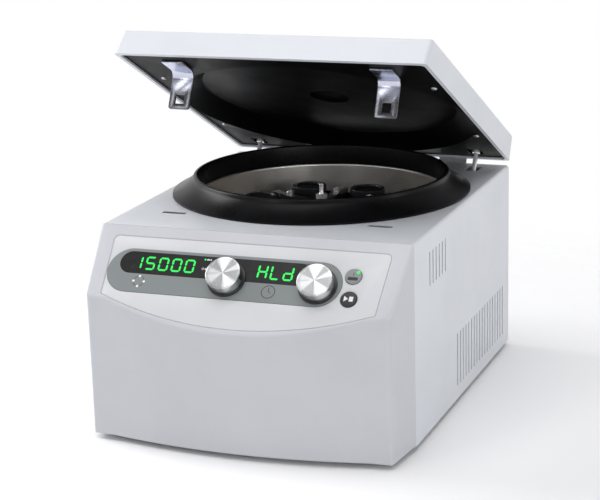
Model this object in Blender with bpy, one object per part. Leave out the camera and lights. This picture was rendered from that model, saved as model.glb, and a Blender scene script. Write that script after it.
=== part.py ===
"""Bench centrifuge: open hinged lid, swing-out rotor with six buckets, sloping control panel.

Lengths are metres and angles are degrees. The housing's own frame has x to the right, y from the
seam behind the front cover (0) to the rear, and z up from the housing's lower edge.
"""
import math

import bmesh
import bpy
from mathutils import Matrix, Vector

# Working gaps and cuts
SEAT_GAP = 0.0003
RUN_GAP = 0.0004
OVERRUN = 0.002

# Chamber; the bowl sets the width and depth of the ring, the housing and the lid
BOWL_RADIUS = 0.150
BOWL_WALL = 0.0012
BOWL_FLANGE = 0.011
BOWL_FLOOR_Z = 0.122
BOWL_CORNER = 0.014
CORNER_STEPS = 2
BOWL_COLLAR_RADIUS = 0.026
BOWL_COLLAR_HEIGHT = 0.010
RING_SINK = 0.0007
RING_PLUG = 0.002
RING_OVERHANG = 0.001
RING_RIM = 0.0042
RING_FLARE = 0.0263
RING_HEIGHT = 0.0240
RING_LIP = 0.0022
RING_FLARE_SHARES = (0.35, 0.7)
GUARD_GAP = 0.0015
GUARD_WALL = 0.004
GUARD_WINDOW_WIDTH = 0.060
GUARD_WINDOW_HEIGHT = 0.045
ROUND_STEPS = 40
MID_STEPS = 20
BOWL_FLANGE_RADIUS = BOWL_RADIUS + BOWL_FLANGE
DECK_HOLE_RADIUS = BOWL_FLANGE_RADIUS + RING_PLUG
RING_BORE_RADIUS = BOWL_RADIUS - RING_OVERHANG
RING_RIM_RADIUS = RING_BORE_RADIUS + RING_RIM
RING_BASE_RADIUS = RING_RIM_RADIUS + RING_FLARE

# Housing
RING_TO_SIDE = 0.0055
RING_TO_FRONT = 0.041
RING_TO_REAR = 0.005
BODY_HEIGHT = 0.2305
HALF_WIDTH = RING_BASE_RADIUS + RING_TO_SIDE
CHAMBER_Y = RING_TO_FRONT + RING_BASE_RADIUS
BODY_DEPTH = CHAMBER_Y + RING_BASE_RADIUS + RING_TO_REAR
SHEET = 0.0015
BEND_RADIUS = 0.004
FOOT_HEIGHT = 0.006
FOOT_RADIUS = 0.014
FOOT_INSET_X = 0.036
FOOT_FRONT_Y = -0.020
FOOT_REAR_INSET = 0.034
PAN_LIP = 0.012

# Air slots in the sides
SLOT_WIDTH = 0.0036
SLOT_PITCH = 0.0122
UPPER_SLOTS = 6
UPPER_SLOT_FIRST_Y = 0.0575
UPPER_SLOT_LOW_Z = 0.1685
UPPER_SLOT_HIGH_Z = 0.2077
LOWER_SLOT_FIRST_Y = 0.167
LOWER_SLOT_REAR_MARGIN = 0.030
LOWER_SLOT_LOW_Z = 0.0155
LOWER_SLOT_HIGH_Z = 0.0807
LOWER_SLOT_SPAN = BODY_DEPTH - LOWER_SLOT_REAR_MARGIN - LOWER_SLOT_FIRST_Y
LOWER_SLOTS = 1 + int(LOWER_SLOT_SPAN / SLOT_PITCH)

# Front cover
PANEL_TILT = 46.0
FRONT_WALL = 0.0045
FRONT_TAPER = 0.007
PANEL_SIDE_LENGTH = 0.0926
PANEL_MID_LENGTH = 0.1265
BULGE_MARGIN = 0.028
BULGE_HALF_WIDTH = HALF_WIDTH - BULGE_MARGIN
FRONT_FOOT_Y = 0.0619
FRONT_FOOT_BULGE = 0.018
FRONT_STATIONS = 14
CORNER_ROUND = 0.005
EDGE_ROUND = 0.0025

# Control panel insert
INSERT_MARGIN = 0.021
INSERT_TAPER = 0.004
INSERT_TOP = 0.014
INSERT_SIDE_END = 0.088
INSERT_MID_END = 0.1190
INSERT_CORNER = 0.006
INSERT_THICK = 0.0022
POCKET_DEPTH = 0.0030
POCKET_LEDGE = 0.008
ARC_STEPS = 14
INSERT_HALF_WIDTH = HALF_WIDTH - INSERT_MARGIN
INSERT_HALF_WIDTH_LOW = INSERT_HALF_WIDTH - INSERT_TAPER

# Display strip, window, knobs and buttons on the panel (x, and distance down the slope)
STRIP_LEFT_MARGIN = 0.003
STRIP_RIGHT_MARGIN = 0.048
STRIP_LEFT = STRIP_LEFT_MARGIN - INSERT_HALF_WIDTH
STRIP_RIGHT = INSERT_HALF_WIDTH - STRIP_RIGHT_MARGIN
STRIP_HEIGHT = 0.054
STRIP_MID = 0.0565
STRIP_THICK = 0.0012
WINDOW_MARGIN = 0.010
WINDOW_LEFT = STRIP_LEFT + WINDOW_MARGIN
WINDOW_HEIGHT = 0.029
WINDOW_MID = 0.046
WINDOW_THICK = 0.0005
KNOB_RADIUS = 0.020
KNOB_HEIGHT = 0.013
KNOB_EDGE = 0.0012
KNOB_SHAFT = 0.003
KNOB_SHAFT_LENGTH = 0.009
KNOB_RING_RADIUS = 0.0215
KNOB_RING_HEIGHT = 0.002
KNOB_DOWN = 0.0590
KNOB_TO_STRIP_END = 0.0265
KNOB_SPACING = 0.106
TIME_KNOB_X = STRIP_RIGHT - KNOB_TO_STRIP_END
KNOB_X = {"speed_knob": TIME_KNOB_X - KNOB_SPACING, "time_knob": TIME_KNOB_X}
BUTTON_RADIUS = 0.0092
BUTTON_PROUD = 0.0014
BUTTON_TRAVEL = 0.0008
BUTTON_FLANGE = 0.0016
BUTTON_STEM = 0.0025
BUTTON_EDGE = 0.0008
LID_BUTTON_MARGIN = 0.0374
LID_BUTTON_DOWN = 0.0439
START_BUTTON_MARGIN = 0.0368
START_BUTTON_DOWN = 0.0715
BUTTON_PLACE = {"lid_button": (INSERT_HALF_WIDTH - LID_BUTTON_MARGIN, LID_BUTTON_DOWN),
                "start_button": (INSERT_HALF_WIDTH - START_BUTTON_MARGIN, START_BUTTON_DOWN)}

# Electronics
BOARD_TO_PANEL = 0.010
BOARD_THICK = 0.0016
BOARD_MARGIN = 0.019
BOARD_HALF_WIDTH = INSERT_HALF_WIDTH - BOARD_MARGIN
BOARD_TOP = 0.026
BOARD_BOTTOM = 0.084
SWITCH_PAD = 0.004
ENCODER_SIZE = 0.012
DRIVE_BOARD_WIDTH = 0.120
DRIVE_BOARD_HEIGHT = 0.080
DRIVE_BOARD_Y = 0.012
DRIVE_BOARD_LOW_Z = 0.020
DRIVE_PART_DEPTH = 0.018
DRIVE_PART_SHARES = (-0.3, 0, 0.3)

# Motor and shaft
DAMPER_OUTER = 0.050
DAMPER_INNER = 0.038
DAMPER_HEIGHT = 0.014
MOTOR_FLANGE_RADIUS = 0.062
MOTOR_FLANGE = 0.004
MOTOR_RADIUS = 0.053
MOTOR_HEIGHT = 0.082
MOTOR_NOSE_RADIUS = 0.018
MOTOR_NOSE = 0.010
SHAFT_RADIUS = 0.006
SHAFT_IN_MOTOR = 0.040

# Buckets
BUCKET_RADIUS = 0.0190
BUCKET_WALL = 0.0018
BUCKET_DROP = 0.0625
BUCKET_EAR_REACH = 0.0262
BUCKET_EAR_WIDTH = 0.0140
BUCKET_EAR_RISE = 0.0070
BUCKET_EAR_DROP = 0.0110
BUCKET_ROUND_STEPS = 3
BUCKET_STEPS = 12
CAP_RADIUS = 0.0213
CAP_HEIGHT = 0.0080
CAP_ROOF = 0.0026
CAP_OVER_PIVOT = 0.0155
CAP_EDGE = 0.0015
CAP_DISH_RADIUS = 0.0150
CAP_DISH = 0.0025
SWING_CLEARANCE = 0.0115

# Rotor; a bucket swung out to the side stays clear of the bowl
ROTOR_PLACES = 6
ROTOR_TURN = 1.6
PIVOT_OVER_FLOOR = 0.0825
PIVOT_RADIUS = BOWL_RADIUS - SWING_CLEARANCE - BUCKET_DROP
PIVOT_Z = BOWL_FLOOR_Z + PIVOT_OVER_FLOOR
HUB_OVER_PIVOT = 0.0115
HUB_TOP_Z = PIVOT_Z + HUB_OVER_PIVOT
HUB_RADIUS = 0.022
HUB_HEIGHT = 0.050
HUB_TAPER_SHARE = 0.7
ARM_TIP = 0.014
ARM_REACH = PIVOT_RADIUS + ARM_TIP
ARM_WIDTH = 0.012
ARM_ROOT_WIDTH = 0.010
ARM_HEIGHT = 0.018
STUD_RADIUS = 0.0036
STUD_TO_BUCKET = 0.0022
STUD_INNER_END = BUCKET_RADIUS + STUD_TO_BUCKET
STUD_ROOT = 0.003
STUD_STEPS = 8
NUT_RADIUS = 0.0068
NUT_HEIGHT = 0.009
NUT_STEM_RADIUS = 0.0026
NUT_REACH = 0.022
NUT_TOP_Z = HUB_TOP_Z + NUT_REACH
NUT_EDGE = 0.0008
SMALL_STEPS = 12

# Lid
LID_OPEN = 26.75
LID_GAP = 0.0025
LID_HEIGHT = 0.0325
LID_FRONT_SETBACK = 0.0148
LID_WALL = 0.0025
LID_FLANGE = 0.0045
LID_CORNER = 0.005
LID_EDGE = 0.002
HINGE_BEHIND = 0.0070
HINGE_BELOW_DECK = 0.0095
LINER_THICK = 0.0024
LINER_CORNER = 0.006
RECESS_FLARE = 0.0205
RECESS_MOUTH_RADIUS = RING_BASE_RADIUS
RECESS_TOP_RADIUS = RECESS_MOUTH_RADIUS - RECESS_FLARE
PORT_RADIUS = 0.0245
WINDOW_DISC_MARGIN = 0.006

# Hinges
HINGE_MARGIN = 0.075
HINGE_X = HALF_WIDTH - HINGE_MARGIN
PIN_RADIUS = 0.0025
KNUCKLE_RADIUS = 0.0048
KNUCKLE_WIDTH = 0.016
LUG_WIDTH = 0.010
HINGE_PLATE = 0.002
BRACKET_DROP = 0.018
LEAF_WIDTH = 0.036
LEAF_RISE = 0.034
LUG_SWEEP = math.radians(135)

# Gas springs (places along the closed lid and in the housing)
SPRING_MARGIN = 0.0386
LID_STUD_MARGIN = 0.024
LID_STUD_RISE = 0.018
LOWER_PIVOT_MARGIN = 0.080
LOWER_PIVOT_DROP = 0.1035
SPRING_X = HALF_WIDTH - SPRING_MARGIN
LID_STUD_Y = BODY_DEPTH - LID_STUD_MARGIN
LOWER_PIVOT_Y = BODY_DEPTH - LOWER_PIVOT_MARGIN
LOWER_PIVOT_Z = BODY_HEIGHT - LOWER_PIVOT_DROP
GAS_STUD_RADIUS = 0.003
GAS_PIVOT_CLEARANCE = 0.0009
GAS_EYE_RADIUS = 0.0068
GAS_EYE_THICK = 0.008
GAS_CYLINDER_RADIUS = 0.0075
GAS_CYLINDER_START = 0.0050
GAS_CYLINDER_END = 0.104
GAS_ROD_RADIUS = 0.003
GAS_ROD_START = 0.058
GAS_BORE_START = 0.034
GAS_SOCKET_RADIUS = 0.005
GAS_SOCKET_LENGTH = 0.016
GAS_DECK_SLOT_WIDTH = 0.018
GAS_DECK_SLOT_LENGTH = 0.026
GAS_MOUNT_RADIUS = 0.015
GAS_MOUNT_PLATE = 0.003
GAS_ARM_RADIUS = 0.007
GAS_EDGE = 0.001
LID_STUD_PLATE_WIDTH = 0.016

# Latches
STRAP_MARGIN = 0.060
STRAP_X = HALF_WIDTH - STRAP_MARGIN
STRAP_Y = 0.0660
STRAP_WIDTH = 0.026
STRAP_THICK = 0.0025
STRAP_DROP = 0.044
STRAP_BEND = 0.006
BEND_STEPS = 4
STRAP_FOOT = 0.030
STRAP_HOLE = 0.011
STRAP_HOLE_DROP = 0.032
DECK_SLOT_LENGTH = 0.029
DECK_SLOT_WIDTH = 0.008
LATCH_CASE_WIDTH = 0.044
LATCH_CASE_FRONT_Y = 0.026
LATCH_CASE_REAR_Y = 0.086
LATCH_CASE_DROP = 0.050
BOLT_SIZE = 0.0086
BOLT_LENGTH = 0.030
BOLT_TRAVEL = 0.022
BOLT_GAP = 0.0020
RELEASE_HOLE_MARGIN = 0.0804
RELEASE_HOLE_X = HALF_WIDTH - RELEASE_HOLE_MARGIN
RELEASE_HOLE_Y = 0.0661
RELEASE_HOLE_RADIUS = 0.0012

# Rear panel
REAR_INSET = 0.001
REAR_SLOTS = 12
REAR_SLOT_PITCH = 0.0122
REAR_SLOT_LOW_Z = 0.120
REAR_SLOT_HIGH_Z = 0.180
INLET_MARGIN = 0.065
INLET_X = INLET_MARGIN - HALF_WIDTH
INLET_Z = 0.052
INLET_FLANGE_WIDTH = 0.034
INLET_FLANGE_HEIGHT = 0.066
INLET_FLANGE = 0.0025
INLET_BODY_WIDTH = 0.028
INLET_BODY_HEIGHT = 0.058
INLET_BODY_DEPTH = 0.024
INLET_SOCKET_WIDTH = 0.0245
INLET_SOCKET_HEIGHT = 0.0170
INLET_SOCKET_DEPTH = 0.016
INLET_SOCKET_DOWN = 0.014
INLET_BLADE = (0.002, 0.004)
INLET_BLADE_SPREAD = 0.007
INLET_BLADE_RAISE = 0.0035
ROCKER_WIDTH = 0.019
ROCKER_HEIGHT = 0.0125
ROCKER_UP = 0.017
ROCKER_PROUD = 0.0026
ROCKER_DEEP = 0.006
ROCKER_TILT = 14.0
ROCKER_GAP = 0.0006
ROCKER_POCKET = 0.014

DECK_UNDERSIDE = BODY_HEIGHT - SHEET
TILT = math.radians(PANEL_TILT)
LID_UNDERSIDE = BODY_HEIGHT + LID_GAP
PANEL_FACE = -POCKET_DEPTH + SEAT_GAP + INSERT_THICK
RIM_Z = BODY_HEIGHT + RING_HEIGHT
HINGE = Vector((0, BODY_DEPTH + HINGE_BEHIND, BODY_HEIGHT - HINGE_BELOW_DECK))


# Building blocks

def material(name, colour, roughness, metallic=0.0):
    """Return the Principled material called name."""
    mat = bpy.data.materials.get(name) or bpy.data.materials.new(name)
    mat.use_nodes = True
    shader = mat.node_tree.nodes["Principled BSDF"]
    shader.inputs["Base Color"].default_value = (*colour, 1)
    shader.inputs["Roughness"].default_value = roughness
    shader.inputs["Metallic"].default_value = metallic
    mat.diffuse_color = (*colour, 1)
    return mat


PAINT = material("pale_paint", (0.66, 0.71, 0.75), 0.4)
MOULDING = material("pale_moulding", (0.68, 0.69, 0.72), 0.42)
INSERT = material("light_insert", (0.73, 0.74, 0.75), 0.4)
STRIP = material("grey_strip", (0.27, 0.30, 0.30), 0.4)
DARK_WINDOW = material("dark_window", (0.04, 0.04, 0.04), 0.15)
BLACK_RUBBER = material("black_rubber", (0.015, 0.015, 0.017), 0.4)
BLACK_PLASTIC = material("black_plastic", (0.02, 0.02, 0.022), 0.35)
STEEL = material("bright_steel", (0.62, 0.63, 0.65), 0.25, 1.0)
ZINC = material("zinc_plate", (0.5, 0.51, 0.53), 0.4, 1.0)
ALUMINIUM = material("turned_aluminium", (0.78, 0.78, 0.78), 0.28, 1.0)
DARK_ALLOY = material("dark_alloy", (0.06, 0.065, 0.07), 0.4, 0.6)
MOTOR_PAINT = material("motor_paint", (0.12, 0.12, 0.13), 0.5)
BOARD_GREEN = material("board_green", (0.02, 0.18, 0.08), 0.5)
BUTTON_GREY = material("button_grey", (0.45, 0.47, 0.47), 0.4)
CLEAR = material("smoked_window", (0.05, 0.05, 0.055), 0.1)


def frame(name, parent=None, place=(0, 0, 0), turn=(0, 0, 0)):
    """Return an empty that carries pieces."""
    empty = bpy.data.objects.new(name, None)
    bpy.context.collection.objects.link(empty)
    empty.parent = parent
    empty.location = place
    empty.rotation_euler = [math.radians(angle) for angle in turn]
    return empty


def piece(name, bm, mat, parent, place=(0, 0, 0), turn=(0, 0, 0), smooth=None):
    """Turn a bmesh into the named object on its parent."""
    bmesh.ops.recalc_face_normals(bm, faces=bm.faces)
    mesh = bpy.data.meshes.new(name)
    bm.to_mesh(mesh)
    bm.free()
    if smooth:
        mesh.shade_smooth()
        mesh.set_sharp_from_angle(angle=math.radians(smooth))
    if mat:
        mesh.materials.append(mat)
    obj = bpy.data.objects.new(name, mesh)
    bpy.context.collection.objects.link(obj)
    obj.parent = parent
    obj.location = place
    obj.rotation_euler = [math.radians(angle) for angle in turn]
    return obj


def combine(obj, name, bm, operation):
    """Apply a Boolean with a hidden tool body that shares the object's frame."""
    tool = piece(name, bm, None, obj.parent, obj.location)
    tool.rotation_euler = obj.rotation_euler
    tool.hide_render = True
    tool.display_type = "WIRE"
    modifier = obj.modifiers.new(name, "BOOLEAN")
    modifier.operation = operation
    modifier.solver = "EXACT"
    modifier.object = tool
    return tool


def cut(obj, name, bm):
    """Remove a tool body from the object."""
    return combine(obj, name, bm, "DIFFERENCE")


def fuse(obj, name, bm):
    """Add a tool body to the object."""
    return combine(obj, name, bm, "UNION")


def prism(outline, low, high, axis="Z"):
    """Return an outline in two coordinates extruded from low to high along an axis."""
    bm = bmesh.new()
    add_prism(bm, outline, low, high, axis)
    return bm


def add_prism(bm, outline, low, high, axis="Z"):
    """Add an extruded outline: (x, y) for Z, (x, z) for Y and (y, z) for X."""
    def point(pair, height):
        first, second = pair
        return {"Z": (first, second, height), "Y": (first, height, second), "X": (height, first, second)}[axis]
    floor = [bm.verts.new(point(pair, low)) for pair in outline]
    roof = [bm.verts.new(point(pair, high)) for pair in outline]
    bm.faces.new(floor)
    bm.faces.new(roof)
    for index in range(len(outline)):
        after = (index + 1) % len(outline)
        bm.faces.new((floor[index], floor[after], roof[after], roof[index]))


def box(low, high):
    """Return a box from its low corner to its high corner."""
    bm = bmesh.new()
    add_box(bm, low, high)
    return bm


def add_box(bm, low, high):
    """Add a box to a bmesh."""
    outline = ((low[0], low[1]), (high[0], low[1]), (high[0], high[1]), (low[0], high[1]))
    add_prism(bm, outline, low[2], high[2])


def turned(profile, steps, axis="Z"):
    """Return the closed body that a profile of (radius, height) pairs sweeps round an axis."""
    bm = bmesh.new()
    add_turned(bm, profile, steps, axis)
    return bm


def add_turned(bm, profile, steps, axis="Z", centre=(0, 0, 0)):
    """Add a turned body; a profile point at radius zero becomes one pole."""
    centre = Vector(centre)
    rings = []
    for radius, height in profile:
        ring = []
        for step in range(steps if radius > 0 else 1):
            angle = math.tau * step / steps
            across, along = radius * math.cos(angle), radius * math.sin(angle)
            place = {"Z": (across, along, height), "Y": (across, height, along),
                     "X": (height, across, along)}[axis]
            ring.append(bm.verts.new(centre + Vector(place)))
        rings.append(ring)
    closed = profile[0][0] > 0
    pairs = list(zip(rings, rings[1:] + rings[:1])) if closed else list(zip(rings, rings[1:]))
    for ring, other in pairs:
        for step in range(steps):
            after = (step + 1) % steps
            corners = [ring[step % len(ring)], ring[after % len(ring)],
                       other[after % len(other)], other[step % len(other)]]
            unique = list(dict.fromkeys(corners))
            if len(unique) > 2:
                bm.faces.new(unique)


def disc(radius, steps, centre=(0, 0)):
    """Return the points of a circle."""
    return [(centre[0] + radius * math.cos(math.tau * step / steps),
             centre[1] + radius * math.sin(math.tau * step / steps)) for step in range(steps)]


def filleted(corners, radius, steps=3):
    """Round each corner of an outline with an arc of the given radius."""
    points = []
    count = len(corners)
    for index, corner in enumerate(corners):
        here = Vector(corner)
        back = (Vector(corners[index - 1]) - here)
        ahead = (Vector(corners[(index + 1) % count]) - here)
        opening = back.angle(ahead)
        reach = radius / math.tan(opening / 2)
        start = here + back.normalized() * reach
        end = here + ahead.normalized() * reach
        middle = here + (back.normalized() + ahead.normalized()).normalized() * (radius / math.sin(opening / 2))
        first = math.atan2(start.y - middle.y, start.x - middle.x)
        last = math.atan2(end.y - middle.y, end.x - middle.x)
        sweep = (last - first + math.pi) % math.tau - math.pi
        for step in range(steps + 1):
            angle = first + sweep * step / steps
            points.append((middle.x + radius * math.cos(angle), middle.y + radius * math.sin(angle)))
    return points


def rectangle(low, high):
    """Return a rectangle's corners."""
    return [(low[0], low[1]), (high[0], low[1]), (high[0], high[1]), (low[0], high[1])]


def stadium(low, high, height, middle, steps=8):
    """Return an outline with round ends from x low to x high, about a middle line."""
    radius = height / 2
    points = []
    for step in range(steps + 1):
        angle = math.pi * step / steps - math.pi / 2
        points.append((high - radius + radius * math.cos(angle), middle + radius * math.sin(angle)))
    for step in range(steps + 1):
        angle = math.pi * step / steps + math.pi / 2
        points.append((low + radius + radius * math.cos(angle), middle + radius * math.sin(angle)))
    return points


def slot_outline(middle, low, high, width, steps=1):
    """Return an upright slot with round ends: middle across, low to high along."""
    radius = width / 2
    points = []
    for centre, start in ((high - radius, 0), (low + radius, math.pi)):
        for step in range(steps + 1):
            angle = start + math.pi * step / steps
            points.append((middle + radius * math.cos(angle), centre + radius * math.sin(angle)))
    return points


# Housing, base and rear

def build_housing(parent):
    """Bend the deck and both sides from one sheet, then pierce it."""
    def section(inset):
        corners = [(-HALF_WIDTH + inset, 0), (-HALF_WIDTH + inset, BODY_HEIGHT - inset),
                   (HALF_WIDTH - inset, BODY_HEIGHT - inset), (HALF_WIDTH - inset, 0)]
        rounded = filleted(corners, BEND_RADIUS - inset)
        arc_points = len(rounded) // len(corners)
        return [corners[0]] + rounded[arc_points:3 * arc_points] + [corners[3]]
    outline = section(0) + section(SHEET)[::-1]
    housing = piece("housing", prism(outline, 0, BODY_DEPTH, "Y"), PAINT, parent)
    slots = bmesh.new()
    for count, first, low, high in ((UPPER_SLOTS, UPPER_SLOT_FIRST_Y, UPPER_SLOT_LOW_Z, UPPER_SLOT_HIGH_Z),
                                    (LOWER_SLOTS, LOWER_SLOT_FIRST_Y, LOWER_SLOT_LOW_Z, LOWER_SLOT_HIGH_Z)):
        for index in range(count):
            outline = slot_outline(first + index * SLOT_PITCH, low, high, SLOT_WIDTH)
            for side in (-1, 1):
                inner = side * (HALF_WIDTH - SHEET - OVERRUN)
                outer = side * (HALF_WIDTH + OVERRUN)
                add_prism(slots, outline, min(inner, outer), max(inner, outer), "X")
    cut(housing, "air_slot_cutter", slots)
    deck_low, deck_high = DECK_UNDERSIDE - OVERRUN, BODY_HEIGHT + OVERRUN
    holes = prism(disc(DECK_HOLE_RADIUS, ROUND_STEPS, (0, CHAMBER_Y)), deck_low, deck_high)
    strap_mid = STRAP_Y + STRAP_THICK / 2 - strap_drift() / 2
    for side in (-1, 1):
        low = (side * STRAP_X - DECK_SLOT_LENGTH / 2, strap_mid - DECK_SLOT_WIDTH / 2)
        high = (side * STRAP_X + DECK_SLOT_LENGTH / 2, strap_mid + DECK_SLOT_WIDTH / 2)
        add_prism(holes, filleted(rectangle(low, high), SHEET), deck_low, deck_high)
        rod_y = gas_slot_middle()
        low = (side * SPRING_X - GAS_DECK_SLOT_WIDTH / 2, rod_y - GAS_DECK_SLOT_LENGTH / 2)
        high = (side * SPRING_X + GAS_DECK_SLOT_WIDTH / 2, rod_y + GAS_DECK_SLOT_LENGTH / 2)
        add_prism(holes, filleted(rectangle(low, high), BEND_RADIUS), deck_low, deck_high)
    add_prism(holes, disc(RELEASE_HOLE_RADIUS, SMALL_STEPS // 2, (RELEASE_HOLE_X, RELEASE_HOLE_Y)),
              deck_low, deck_high)
    cut(housing, "deck_hole_cutter", holes)


def strap_drift():
    """How far a strap moves forward while it leaves the deck slot."""
    arm = HINGE.y - STRAP_Y
    swing = (STRAP_DROP - LID_GAP) / arm
    return arm / math.cos(swing) - arm


def build_base(parent):
    """A tray inside the housing's lower edge, with four rubber feet below."""
    wide = HALF_WIDTH - SHEET - SEAT_GAP
    front = -FRONT_FOOT_Y + FRONT_WALL + SEAT_GAP
    rear = BODY_DEPTH - REAR_INSET - SHEET - SEAT_GAP
    narrow = wide - FRONT_TAPER - FRONT_WALL
    def outline(inset):
        points = []
        for index in range(ARC_STEPS + 1):
            x = (narrow - inset) * (2 * index / ARC_STEPS - 1)
            points.append((x, front + inset - arc_rise(x, BULGE_HALF_WIDTH, FRONT_FOOT_BULGE)))
        points += [(wide - FRONT_WALL - inset, 0), (wide - inset, SHEET + inset), (wide - inset, rear - inset)]
        points += [(-wide + inset, rear - inset), (-wide + inset, SHEET + inset), (-wide + FRONT_WALL + inset, 0)]
        return points
    pan = piece("base_pan", prism(outline(0), 0, PAN_LIP), ZINC, parent)
    cut(pan, "base_pan_cutter", prism(outline(SHEET), SHEET, PAN_LIP + OVERRUN))
    places = {"front_left": (-1, FOOT_FRONT_Y), "front_right": (1, FOOT_FRONT_Y),
              "rear_left": (-1, BODY_DEPTH - FOOT_REAR_INSET), "rear_right": (1, BODY_DEPTH - FOOT_REAR_INSET)}
    for name, (side, y) in places.items():
        profile = [(0, -SEAT_GAP), (FOOT_RADIUS, -SEAT_GAP), (FOOT_RADIUS - SHEET, -FOOT_HEIGHT), (0, -FOOT_HEIGHT)]
        piece("foot_" + name, turned(profile, SMALL_STEPS), BLACK_RUBBER, parent,
              (side * (HALF_WIDTH - FOOT_INSET_X), y, 0), smooth=40)


def build_rear(parent):
    """Rear panel with air slots, and the mains inlet with its rocker switch."""
    wide = HALF_WIDTH - SHEET - SEAT_GAP
    outer = BODY_DEPTH - REAR_INSET
    sheet = filleted(rectangle((-wide, 0), (wide, DECK_UNDERSIDE - SEAT_GAP)), BEND_RADIUS)
    panel = piece("rear_panel", prism(sheet, outer - SHEET, outer, "Y"), PAINT, parent)
    holes = bmesh.new()
    first = -(REAR_SLOTS - 1) * REAR_SLOT_PITCH / 2
    for index in range(REAR_SLOTS):
        outline = slot_outline(first + index * REAR_SLOT_PITCH, REAR_SLOT_LOW_Z, REAR_SLOT_HIGH_Z, SLOT_WIDTH)
        add_prism(holes, outline, outer - SHEET - OVERRUN, outer + OVERRUN, "Y")
    low = (INLET_X - INLET_BODY_WIDTH / 2 - SEAT_GAP, INLET_Z - INLET_BODY_HEIGHT / 2 - SEAT_GAP)
    high = (INLET_X + INLET_BODY_WIDTH / 2 + SEAT_GAP, INLET_Z + INLET_BODY_HEIGHT / 2 + SEAT_GAP)
    add_prism(holes, rectangle(low, high), outer - SHEET - OVERRUN, outer + OVERRUN, "Y")
    cut(panel, "rear_panel_cutter", holes)
    seat = outer + SEAT_GAP
    face = seat + INLET_FLANGE
    flange = filleted(rectangle((-INLET_FLANGE_WIDTH / 2, -INLET_FLANGE_HEIGHT / 2),
                                (INLET_FLANGE_WIDTH / 2, INLET_FLANGE_HEIGHT / 2)), INLET_FLANGE)
    inlet = piece("power_inlet", prism(flange, 0, INLET_FLANGE, "Y"), BLACK_PLASTIC, parent,
                  (INLET_X, seat, INLET_Z))
    fuse(inlet, "inlet_body", box((-INLET_BODY_WIDTH / 2, -INLET_BODY_DEPTH, -INLET_BODY_HEIGHT / 2),
                                  (INLET_BODY_WIDTH / 2, INLET_FLANGE / 2, INLET_BODY_HEIGHT / 2)))
    half = INLET_SOCKET_WIDTH / 2
    socket_low = -INLET_SOCKET_DOWN - INLET_SOCKET_HEIGHT / 2
    socket_high = socket_low + INLET_SOCKET_HEIGHT
    slope = INLET_SOCKET_HEIGHT / 3
    socket = [(-half, socket_low), (half, socket_low), (half, socket_high - slope),
              (half - slope, socket_high), (-half + slope, socket_high), (-half, socket_high - slope)]
    pockets = prism(socket, INLET_FLANGE - INLET_SOCKET_DEPTH, INLET_FLANGE + OVERRUN, "Y")
    room = ROCKER_GAP
    add_box(pockets, (-ROCKER_WIDTH / 2 - room, INLET_FLANGE - ROCKER_POCKET, ROCKER_UP - ROCKER_HEIGHT / 2 - room),
            (ROCKER_WIDTH / 2 + room, INLET_FLANGE + OVERRUN, ROCKER_UP + ROCKER_HEIGHT / 2 + room))
    cut(inlet, "inlet_pockets", pockets)
    blades = bmesh.new()
    for across, raised in ((-INLET_BLADE_SPREAD, 0), (0, INLET_BLADE_RAISE), (INLET_BLADE_SPREAD, 0)):
        middle = -INLET_SOCKET_DOWN - INLET_BLADE_RAISE / 2 + raised
        add_box(blades, (across - INLET_BLADE[0] / 2, INLET_FLANGE - INLET_SOCKET_DEPTH - SHEET,
                         middle - INLET_BLADE[1] / 2),
                (across + INLET_BLADE[0] / 2, -SHEET, middle + INLET_BLADE[1] / 2))
    fuse(inlet, "inlet_blades", blades)
    tilt = frame("switch_axis", parent, (INLET_X, face - ROCKER_DEEP / 2, INLET_Z + ROCKER_UP),
                 (0, 0, -ROCKER_TILT / 2))
    half = ROCKER_WIDTH / 2 - ROCKER_GAP / 2
    top = ROCKER_DEEP / 2
    peak = top + ROCKER_PROUD
    rocker = [(-half + ROCKER_GAP, -ROCKER_DEEP), (half - ROCKER_GAP, -ROCKER_DEEP), (half - ROCKER_GAP, peak),
              (0, top), (-half + ROCKER_GAP, peak)]
    piece("switch_rocker", prism(rocker, -ROCKER_HEIGHT / 2, ROCKER_HEIGHT / 2), BLACK_PLASTIC, tilt)


# Front cover and control panel

def arc_rise(x, half_width, rise):
    """Height at x of the arc with the given rise that spans both half widths."""
    if abs(x) >= half_width:
        return 0
    radius = (half_width ** 2 + rise ** 2) / (2 * rise)
    return math.sqrt(radius ** 2 - x ** 2) - (radius - rise)


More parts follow.
